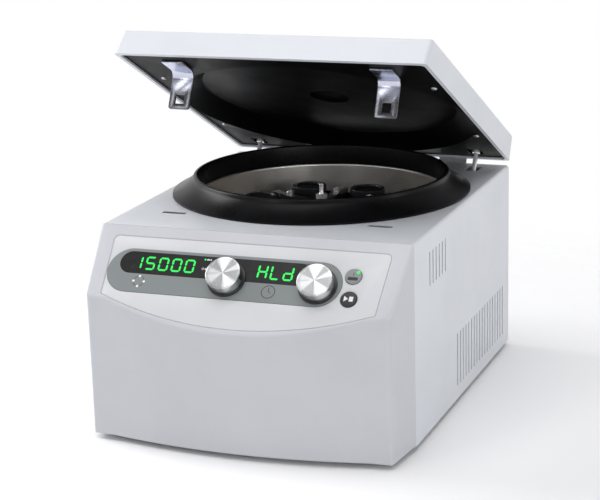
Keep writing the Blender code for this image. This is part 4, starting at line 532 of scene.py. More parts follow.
vents = bmesh.new()
for count, first, low, high in VENT_ROWS:
    for index in range(count):
        for near, far in ((-HALF_WIDTH - VENT_CUT, VENT_CUT - HALF_WIDTH),
                          (HALF_WIDTH - VENT_CUT, HALF_WIDTH + VENT_CUT)):
            prism(slot(first + index * VENT_PITCH, low, high, VENT_WIDTH), near, far, "X", vents)
holes = prism(disc(DECK_HOLE_RADIUS, (0, CHAMBER_Y), 128), *DECK_CUT)
arm = HINGE.y - STRAP_Y
strap_middle = STRAP_Y + STRAP_THICK / 2 - (arm / math.cos((STRAP_DROP - 0.0025) / arm) - arm) / 2


def latch_slot(side, grow):
    """Outline of a deck slot for a latch strap, made wider all round."""
    half_length, half_width = LATCH_SLOT_HALF_LENGTH + grow, LATCH_SLOT_HALF_WIDTH + grow
    return rounded(rectangle((side * STRAP_X - half_length, strap_middle - half_width),
                             (side * STRAP_X + half_length, strap_middle + half_width)),
                             LATCH_SLOT_CORNER + grow)


lips, throats = bmesh.new(), bmesh.new()
lip_foot = BODY_HEIGHT - LIP_DEPTH
for side in (-1, 1):
    prism(latch_slot(side, 0), *DECK_CUT, "Z", holes)
    prism(rounded(rectangle((side * SPRING_X - SPRING_SLOT_HALF, SPRING_SLOT_FRONT),
                            (side * SPRING_X + SPRING_SLOT_HALF, SPRING_SLOT_REAR)), SPRING_SLOT_CORNER),
          *DECK_CUT, "Z", holes)
    prism(latch_slot(side, LIP_WALL), lip_foot, BODY_HEIGHT - LIP_SINK, "Z", lips)
    prism(latch_slot(side, 0), lip_foot - OVERRUN, BODY_HEIGHT + OVERRUN, "Z", throats)
prism(disc(RELEASE_HOLE_RADIUS, RELEASE_HOLE, 16), *DECK_CUT, "Z", holes)
make("slot_lips", lips, HOUSING_PAINT, "body", steps=(("DIFFERENCE", throats),))
make("housing_shell", prism(section(0) + section(SHEET)[::-1], 0, BODY_DEPTH, "Y"), HOUSING_PAINT, "body",
     replaces=("housing",), steps=(("DIFFERENCE", vents), ("DIFFERENCE", holes)), smooth=30)


# Front cover

def cover(wall, back, stations):
    """Loft the cover from sections across its width."""
    bm = bmesh.new()
    side_y = PANEL_SIDE_LENGTH * math.cos(TILT)
    rows = []
    edge = BULGE_HALF_WIDTH / HALF_WIDTH
    for share in [-1] + [edge * (2 * index / stations - 1) for index in range(stations + 1)] + [1]:
        x_front = share * (HALF_WIDTH - FRONT_TAPER - wall)
        x_back = share * (HALF_WIDTH - wall)
        foot_x = share * (HALF_WIDTH - FRONT_TAPER * FRONT_FOOT_Y / side_y - wall)
        length = PANEL_SIDE_LENGTH + arc_rise(x_front, BULGE_HALF_WIDTH, PANEL_MID_LENGTH - PANEL_SIDE_LENGTH)
        top_y = -length * math.cos(TILT) + wall
        foot_y = -FRONT_FOOT_Y - arc_rise(x_front, BULGE_HALF_WIDTH, FRONT_FOOT_BULGE) + wall
        drop = wall / math.cos(TILT)
        low = -0.002 if wall else 0
        rows.append([bm.verts.new(point) for point in (
            (x_back, back, BODY_HEIGHT + back * math.tan(TILT) - drop),
            (x_front, top_y, BODY_HEIGHT + top_y * math.tan(TILT) - drop), (foot_x, foot_y, low),
            (x_back, back, low))])
    for row, other in zip(rows, rows[1:]):
        for index in range(4):
            after = (index + 1) % 4
            bm.faces.new((row[index], row[after], other[after], other[index]))
    bm.faces.new(rows[0])
    bm.faces.new(rows[-1])
    weights = bm.edges.layers.float.new("bevel_weight_edge")
    for row, other in zip(rows, rows[1:]):
        for index in (1, 2):
            bm.edges.get((row[index], other[index]))[weights] = 0.5
    for row in (rows[0], rows[-1]):
        for index, weight in ((0, 0.5), (1, 1), (2, 0.5)):
            bm.edges.get((row[index], row[index + 1]))[weights] = weight
    return bm


def insert_outline(inset):
    """Outline of the control panel: x, and minus the distance down the slope."""
    half, top, rise = INSERT_HALF_WIDTH_LOW - inset, -INSERT_TOP - inset, INSERT_MID_END - INSERT_SIDE_END
    points = []
    for index in range(41):
        x = half * (2 * index / 40 - 1)
        points.append((x, -INSERT_SIDE_END - arc_rise(x, half, rise - inset / 2) + inset / 2))
    wide = INSERT_HALF_WIDTH - inset
    bends = rounded([points[-1], (wide, top), (-wide, top), points[0]], INSERT_CORNER, 8)
    return points + bends[9:27]


def insert_pocket(seat, mouth, deep):
    """The insert's pocket: straight to the given depth, with a soft chamfer at its mouth."""
    bm = bmesh.new()
    rings = []
    for grow, height in ((seat, -deep), (seat, -mouth), (seat + mouth, 0), (seat + mouth + 0.002, 0.002)):
        rings.append([bm.verts.new((x, y, height)) for x, y in insert_outline(-grow)])
    for ring, other in zip(rings, rings[1:]):
        for index in range(len(ring)):
            after = (index + 1) % len(ring)
            bm.faces.new((ring[index], ring[after], other[after], other[index]))
    bm.faces.new(rings[0])
    bm.faces.new(rings[-1])
    return bm


def on_slope(bm):
    """Move a tool from the panel's frame to the housing's."""
    bmesh.ops.transform(bm, matrix=BASE.inverted() @ SLOPE, verts=bm.verts)
    return bm


make("front_cover_moulding", cover(0, -SEAT_GAP, 40), COVER_PLASTIC, "body", replaces=("front_cover",),
     steps=(("DIFFERENCE", cover(FRONT_WALL, 0.002, 40)),
            ("DIFFERENCE", on_slope(insert_pocket(0.00005, 0.0012, POCKET_DEPTH))),
            ("DIFFERENCE", on_slope(prism(insert_outline(POCKET_LEDGE), -0.012, 0.002)))),
     bevel=("first", "WEIGHT", 0.005, 5), smooth=24)

wells = bmesh.new()
for x, down in BUTTONS.values():
    prism(disc(BUTTON_RADIUS + 0.0004, (x, -down)), PANEL_FACE - 0.004, 0.002, "Z", wells)
for x in KNOB_X.values():
    prism(disc(SHAFT_RADIUS, (x, -KNOB_DOWN), 24), PANEL_FACE - 0.004, OVERRUN, "Z", wells)
recess = prism(stadium(STRIP_LEFT - SEAT_GAP, STRIP_RIGHT + SEAT_GAP, STRIP_HEIGHT + 2 * SEAT_GAP,
                       -STRIP_MID),
               PANEL_FACE - STRIP_THICK - SEAT_GAP, 0.002)
make("panel_insert", prism(insert_outline(0), PANEL_FACE - INSERT_THICK, PANEL_FACE), INSERT_FILM, "body",
     SLOPE,
     replaces=("control_panel",), steps=(("DIFFERENCE", recess), ("DIFFERENCE", wells)),
     bevel=("last", "ANGLE", 0.0005, 3))

shafts, rings, around = bmesh.new(), bmesh.new(), bmesh.new()
for x in KNOB_X.values():
    prism(disc(SHAFT_RADIUS, (x, -KNOB_DOWN), 24), PANEL_FACE - 0.004, 0.004, "Z", shafts)
    prism(disc(KNOB_RING_RADIUS, (x, -KNOB_DOWN), 72), PANEL_FACE - STRIP_THICK + SEAT_GAP,
          STRIP_TOP + KNOB_RING_HEIGHT,
          "Z", rings)
    prism(disc(KNOB_RING_RADIUS + SEAT_GAP, (x, -KNOB_DOWN), 72), -0.002, 0.004, "Z", around)
seat = STRIP_TOP - 0.0005 - SEAT_GAP
make("display_film",
     prism(stadium(STRIP_LEFT, STRIP_RIGHT, STRIP_HEIGHT, -STRIP_MID), PANEL_FACE - STRIP_THICK,
                           STRIP_TOP), STRIP_FILM, "body", SLOPE, replaces=("display_strip",),
     steps=(("DIFFERENCE",
             prism(stadium(WINDOW_LEFT - SEAT_GAP, KNOB_X["time_knob"], WINDOW_HEIGHT + 2 * SEAT_GAP,
                           -WINDOW_MID),
                                 seat, 0.002)), ("UNION", rings), ("DIFFERENCE", shafts)))
make("display_glass",
     prism(stadium(WINDOW_LEFT, WINDOW_RIGHT, WINDOW_HEIGHT, -WINDOW_MID), seat + SEAT_GAP, STRIP_TOP),
     WINDOW_GLOSS, "body", SLOPE, replaces=("display_window",), steps=(("DIFFERENCE", around),))
for name, x in KNOB_X.items():
    low = STRIP_TOP + KNOB_RING_HEIGHT - 0.0001
    outside = KNOB_RING_RADIUS + 0.0003
    sleeve = [(outside, STRIP_TOP), (outside, low + 0.0002), (outside - 0.0002, low + 0.00035),
              (0.0194, low + 0.00035),
              (0.0194, low), (KNOB_RING_RADIUS - 0.0002, low), (KNOB_RING_RADIUS - 0.0002, STRIP_TOP)]
    make(name + "_shadow_ring", turned(sleeve, 72, "Z", (x, -KNOB_DOWN, 0)), TRIM_PLASTIC, "body", SLOPE)


# Knobs and buttons

def crowned(radius, height, edge, steps=5):
    """Profile from the middle of the top down to the foot, with a rounded edge."""
    points = [(0, height)]
    for step in range(steps + 1):
        angle = math.radians(90 - 90 * step / steps)
        points.append((radius - edge + edge * math.cos(angle), height - edge + edge * math.sin(angle)))
    return points


for name, x in KNOB_X.items():
    low = STRIP_TOP + KNOB_RING_HEIGHT + SEAT_GAP
    seat_frame = SLOPE @ Matrix.Translation((x, -KNOB_DOWN, low))
    # Painted highlights on the knob faces: middle angle, half width and strength of each bright wedge
    wedges = ((96, 34, 0.95), (30, 16, 0.55), (-52, 32, 0.95), (-150, 30, 0.45), (172, 18, 0.4))
    metal = spun(name + "_metal", "turned_aluminium", (0.80, 0.81, 0.82), 0.27, seat_frame, 21000.0, wedges)
    profile = [(0, KNOB_HEIGHT - 0.0004), (0.0166, KNOB_HEIGHT - 0.0004), (0.0170, KNOB_HEIGHT)]
    profile += crowned(KNOB_RADIUS, KNOB_HEIGHT, 0.0011)[1:] + [(KNOB_RADIUS, 0), (0.003, 0), (0.003, -0.009),
                                                                (0, -0.009)]
    make(name + "_spun", turned(profile, 128), metal, name, seat_frame, replaces=(name,), smooth=40)

for name, (x, down) in BUTTONS.items():
    back = PANEL_FACE - INSERT_THICK - SEAT_GAP
    top = INSERT_THICK + SEAT_GAP + BUTTON_PROUD
    seat_frame = SLOPE @ Matrix.Translation((x, -down, back))
    profile = crowned(BUTTON_RADIUS, top, 0.0007) + [(BUTTON_RADIUS, 0), (0.0108, 0), (0.0108, -0.0016),
                                                     (0.0025, -0.0016),
                                                     (0.0025, -0.0049), (0, -0.0049)]
    make(name + "_cap", turned(profile, 72), BUTTON_CAP if name == "lid_button" else TRIM_PLASTIC, name,
         seat_frame,
         replaces=(name,), smooth=40)


# Display digits and printed signs

INK_LIFT = 0.00006


def flat(outlines, name, paint, body, matrix, height, thick=0.00005):
    """Thin printed or lit shapes from a list of outlines."""
    bm = bmesh.new()
    for outline in outlines:
        prism(outline, height, height + thick, "Z", bm)
    return make(name, bm, paint, body, matrix)


SEGMENTS = {"0": "abcdef", "1": "bc", "5": "acdfg", "H": "bcefg", "L": "def", "d": "bcdeg"}


def digit(character, left, foot, width, height, stroke):
    """Outlines of a seven-segment character."""
    gap = stroke * 0.12
    def bar(first, second):
        (x0, y0), (x1, y1) = first, second
        if y0 == y1:
            points = [(x0 + gap, y0), (x0 + gap + stroke / 2, y0 + stroke / 2),
                      (x1 - gap - stroke / 2, y0 + stroke / 2),
                      (x1 - gap, y0), (x1 - gap - stroke / 2, y0 - stroke / 2),
                      (x0 + gap + stroke / 2, y0 - stroke / 2)]
        else:
            points = [(x0, y0 + gap), (x0 + stroke / 2, y0 + gap + stroke / 2),
                      (x0 + stroke / 2, y1 - gap - stroke / 2),
                      (x0, y1 - gap), (x0 - stroke / 2, y1 - gap - stroke / 2),
                      (x0 - stroke / 2, y0 + gap + stroke / 2)]
        return [(left + x, foot + y) for x, y in points]
    half, inner = stroke / 2, width - stroke / 2
    low, middle, high = half, height / 2, height - half
    bars = {"a": ((half, high), (inner, high)), "b": ((inner, middle), (inner, high)),
            "c": ((inner, low), (inner, middle)),
            "d": ((half, low), (inner, low)), "e": ((half, low), (half, middle)),
            "f": ((half, middle), (half, high)),
            "g": ((half, middle), (inner, middle))}
    return [bar(*bars[letter]) for letter in SEGMENTS[character]]


def ring_arc(centre, radius, stroke, first, last, steps=24):
    """Outline of part of a ring."""
    outline = []
    for edge, order in ((radius + stroke / 2, range(steps + 1)), (radius - stroke / 2, range(steps, -1, -1))):
        for step in order:
            angle = math.radians(first + (last - first) * step / steps)
            outline.append((centre[0] + edge * math.cos(angle), centre[1] + edge * math.sin(angle)))
    return outline


def stroke_line(first, second, width):
    """Outline of a straight stroke."""
    a, b = Vector(first), Vector(second)
    aside = (b - a).normalized().orthogonal() * width / 2
    return [tuple(a + aside), tuple(a - aside), tuple(b - aside), tuple(b + aside)]


glow = []
for characters, left, foot, pitch, width, height in DIGIT_ROWS:
    for place, character in enumerate(characters):
        glow += digit(character, left + place * pitch, foot, width, height, DIGIT_STROKE)
glow.append(disc(0.0011, (UNIT_LAMP_X, UNIT_LAMP_ROWS[0]), 16))
flat(glow, "lit_digits", GREEN_GLOW, "body", SLOPE, STRIP_TOP + INK_LIFT)
signs = [ring_arc((UNIT_LAMP_X, UNIT_LAMP_ROWS[1]), 0.0012, 0.0004, 0, 360)]
for row in UNIT_LAMP_ROWS:
    for index, width in enumerate((0.0014, 0.0011, 0.0014)):
        left = UNIT_MARK_X + index * UNIT_MARK_PITCH
        signs.append(rectangle((left, row - 0.0009), (left + width, row + 0.0009)))
arcs = []
for index in range(4):
    angle = math.radians(90 * index)
    spot = (TURN_SIGN[0] + TURN_SIGN_RADIUS * math.cos(angle),
            TURN_SIGN[1] + TURN_SIGN_RADIUS * math.sin(angle))
    signs.append(disc(0.0014, spot, 20))
    arcs.append(ring_arc(TURN_SIGN, TURN_SIGN_RADIUS, 0.0007, 90 * index + 22, 90 * index + 68, 8))
flat(signs, "panel_signs", WHITE_INK, "body", SLOPE, STRIP_TOP + INK_LIFT)
x, y = CLOCK_SIGN
clock = [ring_arc(CLOCK_SIGN, CLOCK_RADIUS, 0.0009, 0, 359.9, 48),
         stroke_line(CLOCK_SIGN, (x, y + 0.0050), 0.0008),
         stroke_line((x, y + 0.0004), (x + 0.0030, y - 0.0016), 0.0008)]
flat(arcs + clock, "clock_sign", GREY_INK, "body", SLOPE, STRIP_TOP + INK_LIFT)
top = PANEL_FACE + BUTTON_PROUD + INK_LIFT
x, down = BUTTONS["lid_button"]
flat([rounded(rectangle((x - 0.0056, -down - 0.0050), (x + 0.0056, -down - 0.0012)), 0.0006),
      rectangle((x - 0.0004, -down + 0.0004), (x + 0.0004, -down + 0.0044))],
     "lid_sign", BLACK_INK, "lid_button", SLOPE, top)
x, down = BUTTONS["start_button"]
flat([[(x - 0.0052, -down - 0.0034), (x - 0.0004, -down), (x - 0.0052, -down + 0.0034)],
      rectangle((x + 0.0006, -down - 0.0029), (x + 0.0052, -down + 0.0029))], "start_sign", PALE_INK,
      "start_button", SLOPE, top)
x, down = BUTTONS["lid_button"]
make("lid_lamp", turned(crowned(0.0018, 0.0005, 0.0003, 3) + [(0.0018, 0), (0, 0)], 20, "Z",
                        (x + 0.0050, -down + 0.0048, top)), GREEN_GLOW, "lid_button", SLOPE)


# Chamber

base = BODY_HEIGHT + SEAT_GAP
flange_top = BODY_HEIGHT - RING_SINK
profile = [(RING_BORE_RADIUS + 0.0012, RIM_Z - 0.0001), (RING_BORE_RADIUS + 0.0003, RIM_Z - 0.0009),
           (RING_BORE_RADIUS, RIM_Z - RING_LIP), (RING_BORE_RADIUS, flange_top + SEAT_GAP),
           (DECK_HOLE_RADIUS - SEAT_GAP, flange_top + SEAT_GAP), (DECK_HOLE_RADIUS - SEAT_GAP, base),
           (RING_BASE_RADIUS - 0.0004, base), (RING_BASE_RADIUS, base + 0.0005),
           (RING_BASE_RADIUS, base + RING_LIP)]
bulge = (RING_BASE_RADIUS - RING_RIM_RADIUS) / 2
for index in range(1, 10):
    share = index / 10
    radius = RING_BASE_RADIUS - share * (RING_BASE_RADIUS - RING_RIM_RADIUS) - bulge * share * (1 - share)
    profile.append((radius, base + RING_LIP + share * (RIM_Z - base - 2 * RING_LIP)))
profile += [(RING_RIM_RADIUS + 0.0010, RIM_Z - RING_LIP), (RING_RIM_RADIUS + 0.0004, RIM_Z - 0.0012),
            (RING_RIM_RADIUS - 0.0003, RIM_Z - 0.0004), (RING_RIM_RADIUS - 0.0011, RIM_Z)]
make("chamber_seal", turned(profile, 160), RING_RUBBER, "body", CHAMBER, replaces=("chamber_ring",),
     smooth=50)

inner, outer, floor = BOWL_RADIUS, BOWL_RADIUS + BOWL_WALL, BOWL_FLOOR_Z
bowl = [(inner, flange_top - 0.0024)]
for index in range(6):
    angle = math.radians(180 - 90 * index / 5)
    bowl.append((inner + 0.0024 + 0.0024 * math.cos(angle), flange_top - 0.0024 + 0.0024 * math.sin(angle)))
bowl += [(BOWL_FLANGE_RADIUS, flange_top), (BOWL_FLANGE_RADIUS, flange_top - BOWL_WALL),
         (outer + 0.0012, flange_top - 0.0018),
         (outer, flange_top - 0.0036)]
for index in range(9):
    angle = math.radians(90 * index / 8)
    bowl.append((inner - BOWL_CORNER + (BOWL_CORNER + BOWL_WALL) * math.cos(angle),
                 floor + BOWL_CORNER - (BOWL_CORNER + BOWL_WALL) * math.sin(angle)))
bowl += [(BOWL_COLLAR_RADIUS - BOWL_WALL, floor - BOWL_WALL),
         (BOWL_COLLAR_RADIUS - BOWL_WALL, floor + BOWL_COLLAR_HEIGHT),
         (BOWL_COLLAR_RADIUS, floor + BOWL_COLLAR_HEIGHT), (BOWL_COLLAR_RADIUS, floor)]
for index in range(8, -1, -1):
    angle = math.radians(90 * index / 8)
    bowl.append((inner - BOWL_CORNER + BOWL_CORNER * math.cos(angle),
                 floor + BOWL_CORNER - BOWL_CORNER * math.sin(angle)))
bowl_steel = brushed("bowl_steel", "bright_steel", (0.84, 0.81, 0.77), 0.36, (40, 40, 2600))
make("chamber_pan", turned(bowl, 160), bowl_steel, "body", CHAMBER, replaces=("chamber_bowl",), smooth=50)


# Rotor and buckets

def star():
    """Outline of the six arms, with rounded tips."""
    points = []
    root = ARM_ROOT_WIDTH / 2 / math.sin(math.pi / ROTOR_PLACES)
    for index in range(ROTOR_PLACES):
        along, valley = math.tau * (index + 0.5) / ROTOR_PLACES, math.tau * index / ROTOR_PLACES
        points.append((root * math.cos(valley), root * math.sin(valley)))
        for step in range(7):
            angle = math.radians(-90 + 180 * step / 6)
            reach, aside = ARM_REACH - 0.004 + 0.004 * math.cos(angle), ARM_WIDTH / 2 * math.sin(angle)
            points.append((reach * math.cos(along) - aside * math.sin(along),
                           reach * math.sin(along) + aside * math.cos(along)))
    return points


low = HUB_TOP_Z - HUB_HEIGHT
hub = turned([(0, HUB_TOP_Z), (HUB_RADIUS - 0.003, HUB_TOP_Z), (HUB_RADIUS, HUB_TOP_Z - 0.003),
              (HUB_RADIUS, low + 0.0125),
              (HUB_RADIUS * 0.7, low), (0, low)], 72)
studs = bmesh.new()
for index in range(ROTOR_PLACES):
    for near, far in ((-0.0408, -STUD_INNER_END), (STUD_INNER_END, 0.0408)):
        stud = prism(disc(STUD_RADIUS, (PIVOT_RADIUS, PIVOT_Z), 20), near, far, "Y")
        bmesh.ops.rotate(stud, matrix=Matrix.Rotation(math.tau * index / ROTOR_PLACES, 3, "Z"),
                         verts=stud.verts)
        helper = bpy.data.meshes.new("stud")
        stud.to_mesh(helper)
        stud.free()
        studs.from_mesh(helper)
arms = prism(star(), HUB_TOP_Z - ARM_HEIGHT, HUB_TOP_Z - 0.0015)
bore = prism(disc(0.0063, steps=32), low - 0.002, HUB_TOP_Z + 0.002)
make("rotor_casting", hub, DARK_ALLOY, "rotor", ROTOR, replaces=("rotor_head",),
     steps=(("UNION", arms), ("UNION", studs), ("DIFFERENCE", bore)), bevel=("last", "ANGLE", 0.0008, 3))
nut_low = HUB_TOP_Z + SEAT_GAP
nut_metal = brushed("nut_metal", "bright_steel", (0.93, 0.93, 0.96), 0.2, (300, 300, 300)).set(Metallic=0.6)
nut = crowned(0.0026, 0.238, 0.0012) + [(0.0026, nut_low + 0.0105), (0.0034, nut_low + 0.009)]
nut += [(0.0060, nut_low + 0.009), (0.0068, nut_low + 0.0082), (0.0068, nut_low), (0, nut_low)]
make("rotor_lock_nut", turned(nut, 64), nut_metal, "rotor", ROTOR, replaces=("rotor_nut",), smooth=40)
for index in range(ROTOR_PLACES):
    angle = math.tau * (index + 0.5) / ROTOR_PLACES
    spot = (0.0590 * math.cos(angle), 0.0590 * math.sin(angle), 0)
    screw = [(0, 0.2165), (0.0018, 0.2165), (0.0020, 0.2190), (0.0040, 0.2190), (0.0044, 0.2185),
             (0.0044, 0.2145), (0, 0.2145)]
    make("arm_screw_%d" % (index + 1), turned(screw, 32, "Z", spot), nut_metal, "rotor", ROTOR)

for number in range(1, ROTOR_PLACES + 1):
    turn = math.tau * (number - 1) / ROTOR_PLACES
    seat_frame = ROTOR @ Matrix.Translation((PIVOT_RADIUS * math.cos(turn), PIVOT_RADIUS * math.sin(turn),
                                             PIVOT_Z)) \
        @ Matrix.Rotation(turn, 4, "Z")
    top, inner = 0.0101, BUCKET_RADIUS - BUCKET_WALL
    round_z = BUCKET_RADIUS - BUCKET_DROP
    inside = [(inner * math.sin(math.radians(90 * i / 8)),
               round_z - inner * math.cos(math.radians(90 * i / 8)))
              for i in range(9)]
    outside = [(BUCKET_RADIUS * math.sin(math.radians(90 * i / 8)),
                round_z - BUCKET_RADIUS * math.cos(math.radians(90 * i / 8)))
               for i in range(9)]
    ears = bmesh.new()
    notch = [(0.004 * math.cos(math.radians(180 * i / 12)), 0.004 * math.sin(math.radians(180 * i / 12)))
             for i in range(13)]
    outline = [(-0.004, -0.011), (-0.007, -0.011), (-0.007, 0.0055), (-0.0055, 0.007), (0.0055, 0.007),
               (0.007, 0.0055),
               (0.007, -0.011), (0.004, -0.011)] + notch
    for near, far in ((-BUCKET_EAR_REACH, -0.0181), (0.0181, BUCKET_EAR_REACH)):
        prism(outline, near, far, "Y", ears)
    make("bucket_cup_%d" % number, turned(inside + [(inner, top), (BUCKET_RADIUS, top)] + outside[::-1], 64),
         DARK_ALLOY,
         "bucket_%d" % number, seat_frame, replaces=("bucket_%d" % number,), steps=(("UNION", ears),),
         smooth=40)
    high = CAP_TOP_Z - PIVOT_Z
    cap = [(0, high - 0.0025), (0.0148, high - 0.0025), (0.0156, high - 0.0018), (0.0162, high)]
    cap += crowned(CAP_RADIUS, high, 0.0014)[1:] + [(CAP_RADIUS, high - CAP_HEIGHT),
                                                    (0.0194, high - CAP_HEIGHT),
                                                   (0.0194, top + SEAT_GAP), (0, top + SEAT_GAP)]
    make("bucket_lid_%d" % number, turned(cap, 72), DARK_ALLOY, "bucket_%d" % number, seat_frame,
         replaces=("bucket_cap_%d" % number,), smooth=40)


# Lid

low, high = LID_UNDERSIDE, LID_UNDERSIDE + LID_HEIGHT
slant = LID_WALL * math.hypot(1, LID_SETBACK / LID_HEIGHT)
def lid_front(height):
    """Lean of the lid's front face at a height above its lower edge."""
    return LID_SETBACK * height / LID_HEIGHT


block = prism([(0, low), (BODY_DEPTH, low), (BODY_DEPTH, high), (LID_SETBACK, high)], -HALF_WIDTH, HALF_WIDTH,
              "X")
weigh(block, lambda a, b: 1 if abs(a.z - b.z) > LID_HEIGHT / 2 else 0.4 if min(a.z, b.z) > high - 0.002
      else 0)
roof = high - LID_WALL
cavity = prism([(lid_front(LID_WALL) + slant, low + LID_WALL), (BODY_DEPTH - LID_WALL, low + LID_WALL),
                (BODY_DEPTH - LID_WALL, roof), (lid_front(LID_HEIGHT - LID_WALL) + slant, roof)],
               LID_WALL - HALF_WIDTH, HALF_WIDTH - LID_WALL, "X")
mouth = prism(rounded(rectangle((LID_FLANGE - HALF_WIDTH, LID_FLANGE + slant),
                                (HALF_WIDTH - LID_FLANGE, BODY_DEPTH - LID_FLANGE)),
                      0.006), low - 0.002, low + LID_WALL + 0.0015)
port = prism(disc(PORT_RADIUS, (0, CHAMBER_Y), 96), roof - 0.002, high + 0.002)
make("lid_cover", block, HOUSING_PAINT, "lid", LID, replaces=("lid_shell",),
     steps=(("DIFFERENCE", cavity), ("DIFFERENCE", mouth), ("DIFFERENCE", port)),
     bevel=("first", "WEIGHT", 0.005, 6), smooth=24)

liner_low = low + LID_WALL + SEAT_GAP
liner_high, ceiling = liner_low + LINER_THICK, RIM_Z + SEAT_GAP
front = lid_front(LID_WALL + SEAT_GAP + LINER_THICK) + slant + SEAT_GAP
edge = LID_WALL + SEAT_GAP
plate = prism(rounded(rectangle((edge - HALF_WIDTH, front), (HALF_WIDTH - edge, BODY_DEPTH - edge)), 0.0015),
              liner_low, liner_high)
dome = turned([(0, ceiling + LINER_THICK), (RECESS_TOP_RADIUS, ceiling + LINER_THICK),
               (RECESS_MOUTH_RADIUS + 0.0012, liner_high - 0.0012), (0, liner_high - 0.0012)], 160, "Z",
               (0, CHAMBER_Y, 0))
wall = [(0, ceiling), (RECESS_TOP_RADIUS - 0.0064, ceiling)]
for index in range(7):
    angle = math.radians(90 - 42 * index / 6)
    wall.append((RECESS_TOP_RADIUS - 0.0064 + 0.006 * math.cos(angle),
                 ceiling - 0.006 + 0.006 * math.sin(angle)))
wall += [(RECESS_MOUTH_RADIUS - 0.0012, liner_low + 0.0008), (RECESS_MOUTH_RADIUS, liner_low),
         (RECESS_MOUTH_RADIUS, low - 0.002),
         (0, low - 0.002)]
hole = prism(disc(PORT_RADIUS, (0, CHAMBER_Y), 96), ceiling - 0.002, ceiling + 0.006)
notches = bmesh.new()
for side in (-1, 1):
    box((side * SPRING_X - 0.009, 0.366, liner_low - 0.002),
        (side * SPRING_X + 0.009, 0.3893, liner_high + 0.002), notches)
make("lid_lining", plate, LINER_PLASTIC, "lid", LID, replaces=("lid_liner",),
     steps=(("UNION", dome), ("DIFFERENCE", turned(wall, 160, "Z", (0, CHAMBER_Y, 0))), ("DIFFERENCE", hole),
            ("DIFFERENCE", notches)), smooth=28)
port_low = ceiling + LINER_THICK + SEAT_GAP
make("port_window",
     turned([(0, roof - SEAT_GAP), (0.0305, roof - SEAT_GAP), (0.0305, port_low), (0, port_low)], 96, "Z",
                           (0, CHAMBER_Y, 0)), PORT_GLOSS, "lid", LID, replaces=("view_window",))


def screw(name, spot, matrix, body, radius=0.0035, height=0.0018, down=True):
    """Pan head screw with a crossed recess, its head below or above a face."""
    way = -1 if down else 1
    profile = [(0, way * height), (radius * 0.55, way * height * 0.93), (radius * 0.85, way * height * 0.6),
               (radius, 0), (0, 0)]
    near, far = sorted((way * height * 0.55, way * height * 1.4))
    arm, blade = radius * 0.5, radius * 0.1
    corners = [(blade, arm), (-blade, arm), (-blade, blade), (-arm, blade), (-arm, -blade), (-blade, -blade),
               (-blade, -arm), (blade, -arm), (blade, -blade), (arm, -blade), (arm, blade), (blade, blade)]
    cross = prism([(spot[0] + x, spot[1] + y) for x, y in corners], spot[2] + near, spot[2] + far)
    make(name, turned(profile, 28, "Z", spot), ZINC, body, matrix, steps=(("DIFFERENCE", cross),), smooth=40)


for index, (x, y) in enumerate(((-0.166, 0.102), (0.166, 0.102), (-0.166, 0.300), (0.166, 0.300))):
    screw("lining_screw_%d" % (index + 1), (x, y, liner_low), LID, "lid")


# Latch straps

for name, side in (("left", -1), ("right", 1)):
    x = side * STRAP_X
    foot_low = low + LID_WALL - STRAP_THICK
    foot_high, tip, rear = low + LID_WALL, low - STRAP_DROP, STRAP_Y + STRAP_THICK
    outline = [(rear, tip)]
    middle_y, middle_z = rear - STRAP_BEND, foot_high - STRAP_BEND
    for index in range(11):
        angle = math.radians(90 * index / 10)
        outline.append((middle_y + STRAP_BEND * math.cos(angle), middle_z + STRAP_BEND * math.sin(angle)))
    outline += [(STRAP_Y - STRAP_FOOT, foot_high), (STRAP_Y - STRAP_FOOT, foot_low)]
    for index in range(10, -1, -1):
        angle = math.radians(90 * index / 10)
        radius = STRAP_BEND - STRAP_THICK
        outline.append((middle_y + radius * math.cos(angle), middle_z + radius * math.sin(angle)))
    outline.append((STRAP_Y, tip))
    half = STRAP_WIDTH / 2
    hole_z = low - STRAP_HOLE_DROP
    hole = box((-STRAP_HOLE / 2, STRAP_Y - 0.002, hole_z - STRAP_HOLE / 2),
               (STRAP_HOLE / 2, rear + 0.002, hole_z + STRAP_HOLE / 2))
    corners = bmesh.new()
    for hand in (-1, 1):
        curve = [(hand * (half - 0.003 + 0.003 * math.sin(math.radians(90 * i / 6))),
                  tip + 0.003 - 0.003 * math.cos(math.radians(90 * i / 6))) for i in range(7)]
        prism([(hand * (half + 0.002), tip - 0.002), (hand * (half - 0.003), tip - 0.002)] + curve
              + [(hand * (half + 0.002), tip + 0.003)],
              STRAP_Y - 0.002, rear + 0.002, "Y", corners)
    make("strap_" + name, prism(outline, -half, half, "X"), STRAP_PAINTED_HIGHLIGHT, "lid",
         LID @ Matrix.Translation((x, 0, 0)),
         replaces=("latch_strap_" + name,), steps=(("DIFFERENCE", hole), ("DIFFERENCE", corners)),
         bevel=("last", "ANGLE", 0.0003, 2), smooth=35)


# Materials for the carried-over nodes

def dress(paint, *nodes):
    """Give CAD nodes a procedural material."""
    for node in nodes:
        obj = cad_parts[node]
        for place in obj.material_slots:
            place.material = paint.material


dress(ZINC, "base_pan", "guard_ring", "hinge_bracket_left", "hinge_bracket_right", "hinge_leaf_left",
      "hinge_leaf_right",
      "spring_mount_left", "spring_mount_right", "lid_stud_left", "lid_stud_right")
dress(FOOT_RUBBER, "foot_front_left", "foot_front_right", "foot_rear_left", "foot_rear_right", "motor_damper")
dress(BRIGHT_STEEL, "latch_bolt_left", "latch_bolt_right", "motor_shaft")
dress(ROD_CHROME, "spring_rod_left", "spring_rod_right")
dress(TRIM_PLASTIC, "latch_case_left", "latch_case_right", "power_inlet", "switch_rocker",
      "spring_cylinder_left",
      "spring_cylinder_right")
dress(HOUSING_PAINT, "rear_panel")
dress(MOTOR_COAT, "motor")
dress(BOARD, "control_board", "drive_board")


# Floor, light and camera

